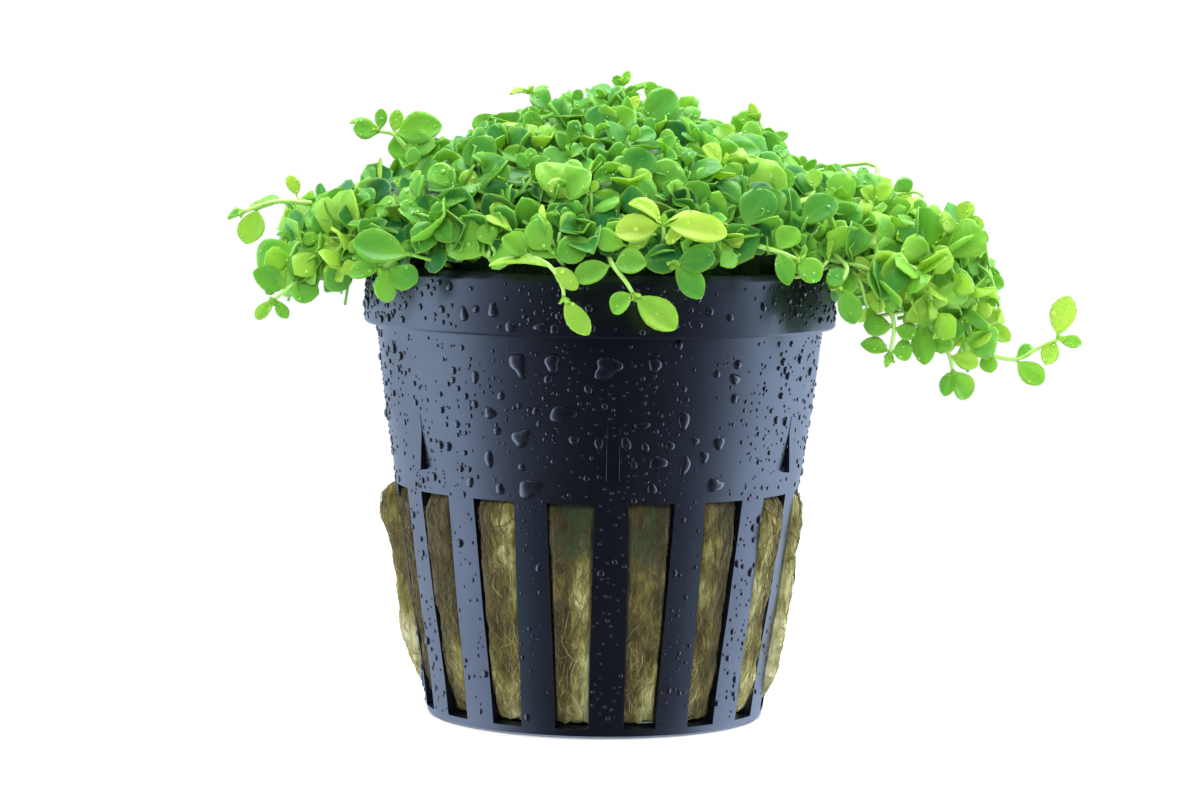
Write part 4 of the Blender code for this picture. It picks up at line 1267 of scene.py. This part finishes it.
def lug_piece(finish):
    """The small wedges on the wall, each flush at its top and cut flat at its foot."""
    pile = Pile()
    for index in range(LUG_COUNT):
        azimuth = RIB_AZIMUTH + index * 360.0 / LUG_COUNT
        side = at(azimuth + 90.0, 1.0, 0.0)
        section = (
            (LUG_ROOT, LUG_FOOT),
            (LUG_REACH_FOOT, LUG_FOOT),
            (LUG_REACH_TOP + 0.15, LUG_TOP - 1.8),
            (profile_radius(LUG_TOP) + 0.03, LUG_TOP),
        )
        points = []
        for half in (-0.5, 0.5):
            points += [tuple(at(azimuth, r, z) + side * half * LUG_WIDTH) for r, z in section]
        faces = [(0, 1, 2, 3), (7, 6, 5, 4)]
        faces += [(a, a + 4, (a + 1) % 4 + 4, (a + 1) % 4) for a in range(4)]
        pile.add(points, faces)
    lugs = pile.make("net_pot_lugs", finish)
    edges = lugs.modifiers.new("edges", "BEVEL")
    edges.width = 0.14 * MM
    edges.segments = 2
    edges.harden_normals = True
    return ride(lugs, "pot_plastic", "net_pot")


# Rockwool

ALGAE = (
    # azimuth, height, reach in degrees, reach in millimetres, strength
    (-6.2, 21.0, 4.0, 1.6, 1.25),
    (-3.2, 23.6, 2.6, 1.3, 0.9),
    (-7.5, 24.2, 3.0, 1.0, 0.7),
    (15.3, 22.8, 1.9, 2.2, 1.3),
    (12.4, 20.8, 3.0, 1.6, 1.0),
    (16.2, 19.4, 1.8, 1.3, 0.8),
    (168.0, 21.0, 4.0, 2.4, 1.0),
    (205.0, 22.0, 4.0, 2.0, 0.9),
)

# Painted light and shade: how much paler the wool is at a slot's two sides, the lower azimuth first
SLOT_LIGHT_AND_SHADE = (
    (0.05, -0.18), (0.12, -0.42), (0.28, 0.08), (0.2, 0.3), (0.1, 0.0), (0.0, 0.1),
    (0.1, -0.1), (-0.1, 0.1), (0.0, 0.05), (0.1, -0.1), (0.0, 0.1), (0.25, 0.2),
    (-0.5, -0.2), (-0.55, -0.05), (-0.38, 0.22), (-0.22, 0.06),
)


# How far the wool swells out of the slots, as height and share
SWELL = (
    (PLUG_FOOT, 0.2), (3.0, 0.6), (4.3, 0.78), (6.0, 0.92), (9.0, 1.0), (15.0, 0.95),
    (18.9, 1.04), (21.5, 1.15), (23.4, 1.02), (24.6, 0.7), (25.4, 0.0),
)


def slot_share(azimuth, height):
    """0 behind a rib, rising to 1 in the open part of a slot, and the slot's index."""
    pitch = 360.0 / RIB_COUNT
    along = (azimuth - RIB_AZIMUTH) % 360.0
    index = int(along // pitch)
    place = along - index * pitch
    gap = min(place, pitch - place) - rib_half_width(height)
    reach = 0.5 + 0.5 * SLOT_BULGES[index]
    share = min(max((gap - 0.15) / reach, 0.0), 1.0)
    return math.sqrt(share * (2.0 - share)), index


def wool_surface(azimuth, height):
    """Radius of the wool at an azimuth and height, and its painted shade from 0, dark in a fold, to 1, pale on a
    ridge.
    """
    open_share, index = slot_share(azimuth, height)
    inside = min(profile_radius(height) - POT_WALL - PLUG_GAP, PLUG_NECK)
    swell = float(np.interp(height, *zip(*SWELL)))
    angle = math.radians(azimuth)
    place = Vector((math.sin(angle) * 20.0, -math.cos(angle) * 20.0, height))
    fold = noise.noise(Vector((place.x * 0.42, place.y * 0.42, height * 0.09 + 7.0)))
    lump = noise.noise(place * 0.30 + Vector((3.0, 9.0, 1.0)))
    tuft = noise.noise(Vector((place.x * 1.6, place.y * 1.6, height * 0.5)))
    if index == LOW_BULGE:
        swell *= 1.0 + 0.25 * (11.0 - height) / 11.0
    bulge = swell * open_share * (PLUG_GAP + SLOT_BULGES[index])
    depth = 0.75 * fold + 0.45 * lump
    radius = inside + bulge + open_share * swell * (0.7 * depth + 0.18 * tuft - 0.35)
    if open_share < 1.0:
        radius = min(radius, inside + bulge)
    return radius, min(max(0.5 + 0.9 * depth + 0.25 * tuft, 0.0), 1.0)


def algae_at(azimuth, height):
    amount = 0.0
    for centre, middle, wide, tall, strength in ALGAE:
        across = ((azimuth - centre + 180.0) % 360.0 - 180.0) / wide
        over = (height - middle) / tall
        amount = max(amount, strength * math.exp(-(across * across + over * over)))
    ragged = noise.noise(Vector((azimuth * 0.5, height * 0.8, 2.0)))
    ragged += noise.noise(Vector((azimuth * 1.4, height * 2.6, 5.0)))
    return min(max(amount * (1.0 + 1.5 * ragged), 0.0), 0.95)


def wool_height_shade(height):
    """Painted shade: the wool is darker at the slots' heads and paler towards the base."""
    return 0.84 - 0.03 * min(height, SLOT_HEAD)


def slot_light_and_shade(azimuth):
    """Painted light and shade: how much paler the wool is at an azimuth than the middle of its range."""
    pitch = 360.0 / RIB_COUNT
    along = (azimuth - RIB_AZIMUTH) % 360.0
    lower, upper = SLOT_LIGHT_AND_SHADE[int(along // pitch)]
    share = min(max((along % pitch) / pitch * 1.8 - 0.4, 0.0), 1.0)
    return lower + (upper - lower) * share * share * (3.0 - 2.0 * share)


def wool_piece(finish):
    """The plug, and the loose fibres that lie on it in the slots."""
    pile = Pile()
    points, masks = [], []
    top_inset = 0.6
    for row in range(PLUG_ROWS):
        height = PLUG_FOOT + (PLUG_TOP - PLUG_FOOT) * (row / (PLUG_ROWS - 1)) ** 1.15
        end_round = 0.9 if row in (0, PLUG_ROWS - 1) else 0.0
        for column in range(PLUG_COLUMNS):
            azimuth = 360.0 * column / PLUG_COLUMNS
            radius, fold = wool_surface(azimuth, height)
            ragged = 0.0
            if row < 3:
                ragged = 0.7 * noise.noise(Vector((azimuth * 0.35, 4.0, row)))
            place = at(azimuth, radius - end_round, height + ragged * (1 if row else 0.6))
            points.append(tuple(place))
            patch = noise.noise(Vector((azimuth * 0.06, height * 0.06, 12.0)))
            # The tone is random patches plus painted shade by height and painted light and shade by slot side.
            tone = wool_height_shade(height) + 0.35 * patch + slot_light_and_shade(azimuth)
            # The first channel is the painted shade of the creases.
            masks.append((fold, algae_at(azimuth, height), tone))
    faces = []
    for row in range(PLUG_ROWS - 1):
        for column in range(PLUG_COLUMNS):
            a = row * PLUG_COLUMNS + column
            b = row * PLUG_COLUMNS + (column + 1) % PLUG_COLUMNS
            faces.append((a, b, b + PLUG_COLUMNS, a + PLUG_COLUMNS))
    for ring, height, turn in ((0, PLUG_FOOT + 0.1, 1), (PLUG_ROWS - 1, PLUG_TOP - top_inset + 0.5, -1)):
        middle = len(points)
        points.append((0.0, 0.0, height))
        masks.append((0.4, 0.0, 0.5))
        for column in range(PLUG_COLUMNS):
            a = ring * PLUG_COLUMNS + column
            b = ring * PLUG_COLUMNS + (column + 1) % PLUG_COLUMNS
            faces.append((middle, b, a)[::turn])
    pile.add(points, faces, masks)
    ride(pile.make("rockwool_body", finish), "rockwool", "rockwool_plug")
    fibres = Pile()
    rng = random.Random(FIBRE_SEED)
    made = 0
    while made < FIBRE_COUNT:
        azimuth = rng.uniform(0.0, 360.0)
        height = rng.uniform(1.8, SLOT_HEAD - 0.6)
        if slot_share(azimuth, height)[0] < 0.35:
            continue
        add_fibre(fibres, azimuth, height, rng)
        made += 1
    ride(fibres.make("rockwool_fibres", finish), "rockwool", "rockwool_plug")


def add_fibre(pile, azimuth, height, rng):
    """One loose strand that follows the wool and lifts off it a little at its middle."""
    slope = rng.gauss(0.0, 0.55)
    length = rng.uniform(1.2, 3.4)
    curl = rng.gauss(0.0, 0.7)
    lift = rng.uniform(0.02, 0.22)
    route = []
    steps = 5
    for step in range(steps):
        share = step / (steps - 1)
        bow = math.sin(math.pi * share)
        rise = (share - 0.5) * length * math.cos(slope)
        across = (share - 0.5) * length * math.sin(slope) + curl * bow * 0.5
        here_height = min(max(height + rise, PLUG_FOOT + 0.1), SLOT_HEAD + 0.4)
        here_azimuth = azimuth + math.degrees(across / 20.0)
        radius, _ = wool_surface(here_azimuth, here_height)
        open_share, _ = slot_share(here_azimuth, here_height)
        route.append(at(here_azimuth, radius - 0.03 + open_share * lift * bow, here_height))
    fold = min(max(rng.gauss(0.58, 0.2), 0.0), 1.0)
    # The fibre's tone carries the same painted shade by height and painted light and shade by slot side.
    tone = min(max(wool_height_shade(height) + slot_light_and_shade(azimuth) + rng.gauss(0.04, 0.14), 0.0), 1.0)
    thick = rng.uniform(0.022, 0.045)
    radii = [thick * (1.0 - 0.5 * abs(2 * s / (steps - 1) - 1)) for s in range(steps)]
    add_tube(pile, route, radii, 3, (fold, algae_at(azimuth, height) * 0.8, tone))


# Beads

def add_bead(pile, place, normal, radius, height, stretch=1.0, sag=0.0, turn=0.0, lobes=(0, 0, 0, 0),
             mask=(0.5, 0.0, 0.5)):
    """A low dome on a surface. stretch is its height over its width, and sag moves its crown down.

    lobes are the reach and the turn of a two-sided and of a three-sided wave in its outline.
    """
    down = Vector((0, 0, -1))
    down = down - normal * down.dot(normal)
    if down.length < 0.1:
        down = normal.orthogonal()
    down.normalize()
    down = Matrix.Rotation(turn, 3, normal) @ down
    side = normal.cross(down)
    if radius > 0.3:
        sides = 16
        rings = ((1.0, -0.12), (0.96, 0.2), (0.82, 0.52), (0.6, 0.8), (0.3, 0.96))
    else:
        sides = 8
        rings = ((1.0, -0.1), (0.8, 0.6))
    points = []
    for reach, rise in rings:
        for corner in range(sides):
            angle = 2 * math.pi * corner / sides
            wave = lobes[0] * math.cos(2 * angle + lobes[1]) + lobes[2] * math.cos(3 * angle + lobes[3])
            far = reach * (1.0 + wave)
            over = math.cos(angle) * far * stretch + sag * (1 - reach)
            spread = (side * math.sin(angle) * far + down * over) * radius
            points.append(place + spread + normal * height * rise)
    points.append(place + down * sag * radius + normal * height)
    faces = []
    for ring in range(len(rings) - 1):
        for corner in range(sides):
            a = ring * sides + corner
            b = ring * sides + (corner + 1) % sides
            faces.append((a, b, b + sides, a + sides))
    last = (len(rings) - 1) * sides
    crown = len(points) - 1
    faces += [(last + c, last + (c + 1) % sides, crown) for c in range(sides)]
    faces.append(tuple(range(sides - 1, -1, -1)))
    pile.add([tuple(p) for p in points], faces, mask)


def on_wall(azimuth, height):
    """A point on the pot's outer wall or collar, and the way out of it."""
    if height > COLLAR_FOOT:
        radius = 25.5 - 0.2 * (height - 42.75) / 5.35
        slope = 0.037
    else:
        radius = profile_radius(height)
        slope = -(profile_radius(height + 0.5) - profile_radius(height - 0.5))
    return at(azimuth, radius, height), at(azimuth, 1.0, slope).normalized()


def wall_place(px, py):
    """Azimuth and height of the pot's wall behind a pixel of the photograph."""
    for step in range(900):
        point = photo_point(px, py, -27.0 + step * 0.03)
        radius = math.hypot(point.x, point.y)
        height = point.z
        wall = profile_radius(height) if height < COLLAR_FOOT else 25.4
        if radius <= wall:
            return math.degrees(math.atan2(point.x, -point.y)), height
    return None


def bead_piece(finish):
    """Beads of water that cling to the wall, the collar and the ribs."""
    rng = random.Random(BEAD_SEED)
    pile = Pile()
    taken = []
    for px, py, wide, tall in WALL_DROPS:
        azimuth, height = wall_place(px, py)
        place, normal = on_wall(azimuth, height)
        radius = wide * PIXEL / 2
        uneven = min(0.011 * wide, 0.24)
        lobes = (uneven * rng.uniform(0.4, 1.0), rng.uniform(0, 6), uneven * rng.uniform(0.5, 1.0), rng.uniform(0, 6))
        tallness = radius * (0.62 - 0.014 * wide)
        add_bead(pile, place, normal, radius, tallness, tall / wide, 0.3, rng.uniform(-0.3, 0.3), lobes)
        taken.append((place, radius * max(tall / wide, 1.0)))
    made = 0
    while made < BEAD_COUNT:
        azimuth = rng.uniform(0.0, 360.0)
        on_collar = rng.random() < 0.2
        height = rng.uniform(COLLAR_FOOT, 48.0) if on_collar else rng.uniform(1.2, COLLAR_FOOT)
        if COLLAR_FOOT - 0.5 < height < COLLAR_FOOT + 0.7:
            continue
        if height < SLOT_HEAD + 0.4 and slot_share(azimuth, height)[0] > 0.0:
            continue
        gap = abs((azimuth - RIB_AZIMUTH + 11.25) % 22.5 - 11.25) - rib_half_width(height)
        if height < SLOT_HEAD + 0.4 and gap > -0.8:
            continue
        crowd = noise.noise(Vector((azimuth * 0.05, height * 0.1, 5.0)))
        if height < SLOT_HEAD and rng.random() < 0.25 or rng.random() < 0.35 - crowd:
            continue
        radius = min((0.14 if on_collar else 0.105) * math.exp(abs(rng.gauss(0.0, 0.62))), 0.46)
        place, normal = on_wall(azimuth, height)
        if any((place - other).length < room + radius for other, room in taken):
            continue
        if radius > 0.16:
            taken.append((place, radius))
        add_bead(pile, place, normal, radius, radius * rng.uniform(0.5, 0.75),
                 rng.uniform(0.95, 1.35), rng.uniform(0.0, 0.25), rng.uniform(-0.5, 0.5))
        made += 1
    ride(pile.make("wall_beads", finish), None)


def leaf_drop_piece(finish):
    """Drops that sit on the leaves."""
    rng = random.Random(BEAD_SEED + 1)
    pile = Pile()
    for place, normal, width, tone in rng.sample(drop_places, min(LEAF_DROPS, len(drop_places))):
        if outside_mound(place) < -3.0:
            continue
        radius = min(0.10 * math.exp(abs(rng.gauss(0.0, 0.6))), width * 0.12, 0.3)
        add_bead(pile, place, normal, radius, radius * 0.75, mask=(tone, 0.0, 0.5))
    ride(pile.make("leaf_beads", finish), None)


# Stage

# Brightness of the studio from the front at 0 to the back at 1, as gloss shows it
GLOSS_SIDES = (
    (0.0, 0.006), (0.1, 0.04), (0.22, 0.13), (0.36, 0.45), (0.46, 1.0), (0.68, 0.85), (0.87, 0.45), (1.0, 0.3),
)
# The same from straight below at 0 to straight above at 1
GLOSS_RISE = ((0.0, 0.05), (0.1, 0.1), (0.22, 1.0), (0.64, 1.0), (0.82, 0.35), (1.0, 0.3))
# Brightness of the soft light from the front at 0 to the back at 1
SOFT_SIDES = ((0.0, 0.3), (0.3, 0.4), (0.6, 1.0), (1.0, 1.0))
SIDE_GLOSS = (2.5, 3.1, 4.2)
SIDE_LIGHT = (0.85, 0.85, 0.85)
LEFT_SHARE = 0.12


def floor_material():
    """Pale table top that runs into the white background."""
    made, tree, shader = new_material("pale_floor")
    shader.inputs["Base Color"].default_value = (0.86, 0.86, 0.87, 1.0)
    shader.inputs["Roughness"].default_value = 0.7
    place = tree.nodes.new("ShaderNodeTexCoord")
    reach = tree.nodes.new("ShaderNodeVectorMath")
    reach.operation = "LENGTH"
    tree.links.new(place.outputs["Object"], reach.inputs[0])
    fade = tree.nodes.new("ShaderNodeMapRange")
    fade.inputs["From Min"].default_value = 0.06
    fade.inputs["From Max"].default_value = 0.22
    tree.links.new(reach.outputs["Value"], fade.inputs["Value"])
    white = tree.nodes.new("ShaderNodeEmission")
    seen = tree.nodes.new("ShaderNodeLightPath")
    strength = maths(tree, "ADD", maths(tree, "MULTIPLY", seen.outputs["Is Camera Ray"], 0.75), 0.25)
    tree.links.new(strength, white.inputs["Strength"])
    blend = tree.nodes.new("ShaderNodeMixShader")
    tree.links.new(fade.outputs["Result"], blend.inputs["Fac"])
    tree.links.new(shader.outputs["BSDF"], blend.inputs[1])
    tree.links.new(white.outputs["Emission"], blend.inputs[2])
    tree.links.new(blend.outputs["Shader"], tree.nodes["Material Output"].inputs["Surface"])
    return made


def make_floor():
    pile = Pile()
    count = 64
    radius = 2500.0
    points = [tuple(at(360.0 * c / count, radius, 0.0)) for c in range(count)]
    pile.add(points, [tuple(range(count))])
    floor = pile.make("floor", floor_material())
    floor.visible_glossy = False


def make_world():
    """White to the camera. Gloss sees bright sides and a dark front, and the rest a soft even light."""
    world = bpy.data.worlds.new("studio")
    bpy.context.scene.world = world
    world.use_nodes = True
    tree = world.node_tree
    background = tree.nodes["Background"]
    place = tree.nodes.new("ShaderNodeTexCoord")
    split = tree.nodes.new("ShaderNodeSeparateXYZ")
    tree.links.new(place.outputs["Generated"], split.inputs["Vector"])
    leaning = maths(tree, "MULTIPLY", split.outputs["X"], LEFT_SHARE)
    skewed = maths(tree, "SUBTRACT", split.outputs["Y"], leaning)
    share = maths(tree, "MULTIPLY", maths(tree, "ADD", skewed, 1.0), 0.5)
    rise = maths(tree, "MULTIPLY", maths(tree, "ADD", split.outputs["Z"], 1.0), 0.5)
    sides = ramp(tree, share, *[(stop, (level,) * 3) for stop, level in GLOSS_SIDES])
    risen = ramp(tree, rise, *[(stop, (level,) * 3) for stop, level in GLOSS_RISE])
    even = ramp(tree, share, *[(stop, (level,) * 3) for stop, level in SOFT_SIDES])
    gloss = mix(tree, 1.0, mix(tree, 1.0, sides, risen, blend="MULTIPLY"), SIDE_GLOSS, blend="MULTIPLY")
    soft = mix(tree, 1.0, even, SIDE_LIGHT, blend="MULTIPLY")
    seen = tree.nodes.new("ShaderNodeLightPath")
    strength = mix(tree, seen.outputs["Is Glossy Ray"], soft, gloss)
    strength = mix(tree, seen.outputs["Is Camera Ray"], strength, (1.0, 1.0, 1.0))
    tree.links.new(strength, background.inputs["Color"])
    background.inputs["Strength"].default_value = 1.0


def add_light(name, place, target, size, power, colour=(1.0, 1.0, 1.0)):
    """A square softbox, with its place, target and size in millimetres."""
    data = bpy.data.lights.new(name, "AREA")
    data.shape = "RECTANGLE"
    data.size = size[0] * MM
    data.size_y = size[1] * MM
    data.energy = power
    data.color = colour
    light = bpy.data.objects.new(name, data)
    bpy.context.scene.collection.objects.link(light)
    light.location = Vector(place) * MM
    light.rotation_euler = (Vector(target) - Vector(place)).to_track_quat("-Z", "Y").to_euler()
    return light


def make_lights():
    """Wide softboxes at both sides and above, and a front fill that the gloss doesn't show."""
    left = add_light("softbox_left", (-400, 110, 160), (-10, 0, 50), (420, 460), 3.4)
    right = add_light("softbox_right", (400, 110, 160), (14, 0, 48), (420, 460), 5.2)
    add_light("softbox_top", (0, 60, 460), (0, 0, 50), (460, 360), 4.2)
    fill = add_light("fill_front", (-60, -560, 330), (0, 0, 55), (420, 260), 3.2)
    for light in (left, right, fill):
        light.visible_glossy = False


def make_camera():
    data = bpy.data.cameras.new("camera")
    data.sensor_width = SENSOR_WIDTH
    data.lens = PHOTO_FOCUS / PHOTO_WIDTH * SENSOR_WIDTH
    data.clip_start = 0.02
    data.clip_end = 10.0
    camera = bpy.data.objects.new("camera", data)
    bpy.context.scene.collection.objects.link(camera)
    tilt = Matrix.Rotation(math.pi / 2 - CAMERA_PITCH, 4, "X")
    roll = Matrix.Rotation(CAMERA_ROLL, 4, "Z")
    camera.matrix_world = Matrix.Translation(Vector(CAMERA_PLACE) * MM) @ tilt @ roll
    bpy.context.scene.camera = camera


def build():
    make_camera()
    leaf = leaf_material("leaf_blade", 0.42)
    stem = stem_material()
    plastic = plastic_material()
    wool = wool_material()
    wall_bead = bead_material("wall_bead", on_leaf=False)
    leaf_bead = bead_material("leaf_bead", on_leaf=True)
    pot_piece(plastic)
    lug_piece(plastic)
    wool_piece(wool)
    shade_core_piece(shade_core_material())
    mound_pieces(leaf, stem)
    front_leaf_piece(leaf, stem)
    for name in SPRIGS:
        sprig_piece(name, leaf, stem)
    leaf_drop_piece(leaf_bead)
    bead_piece(wall_bead)
    make_floor()
    make_world()
    make_lights()
    bpy.context.scene.view_settings.view_transform = "Standard"
    bpy.context.scene.view_settings.look = "None"


build()
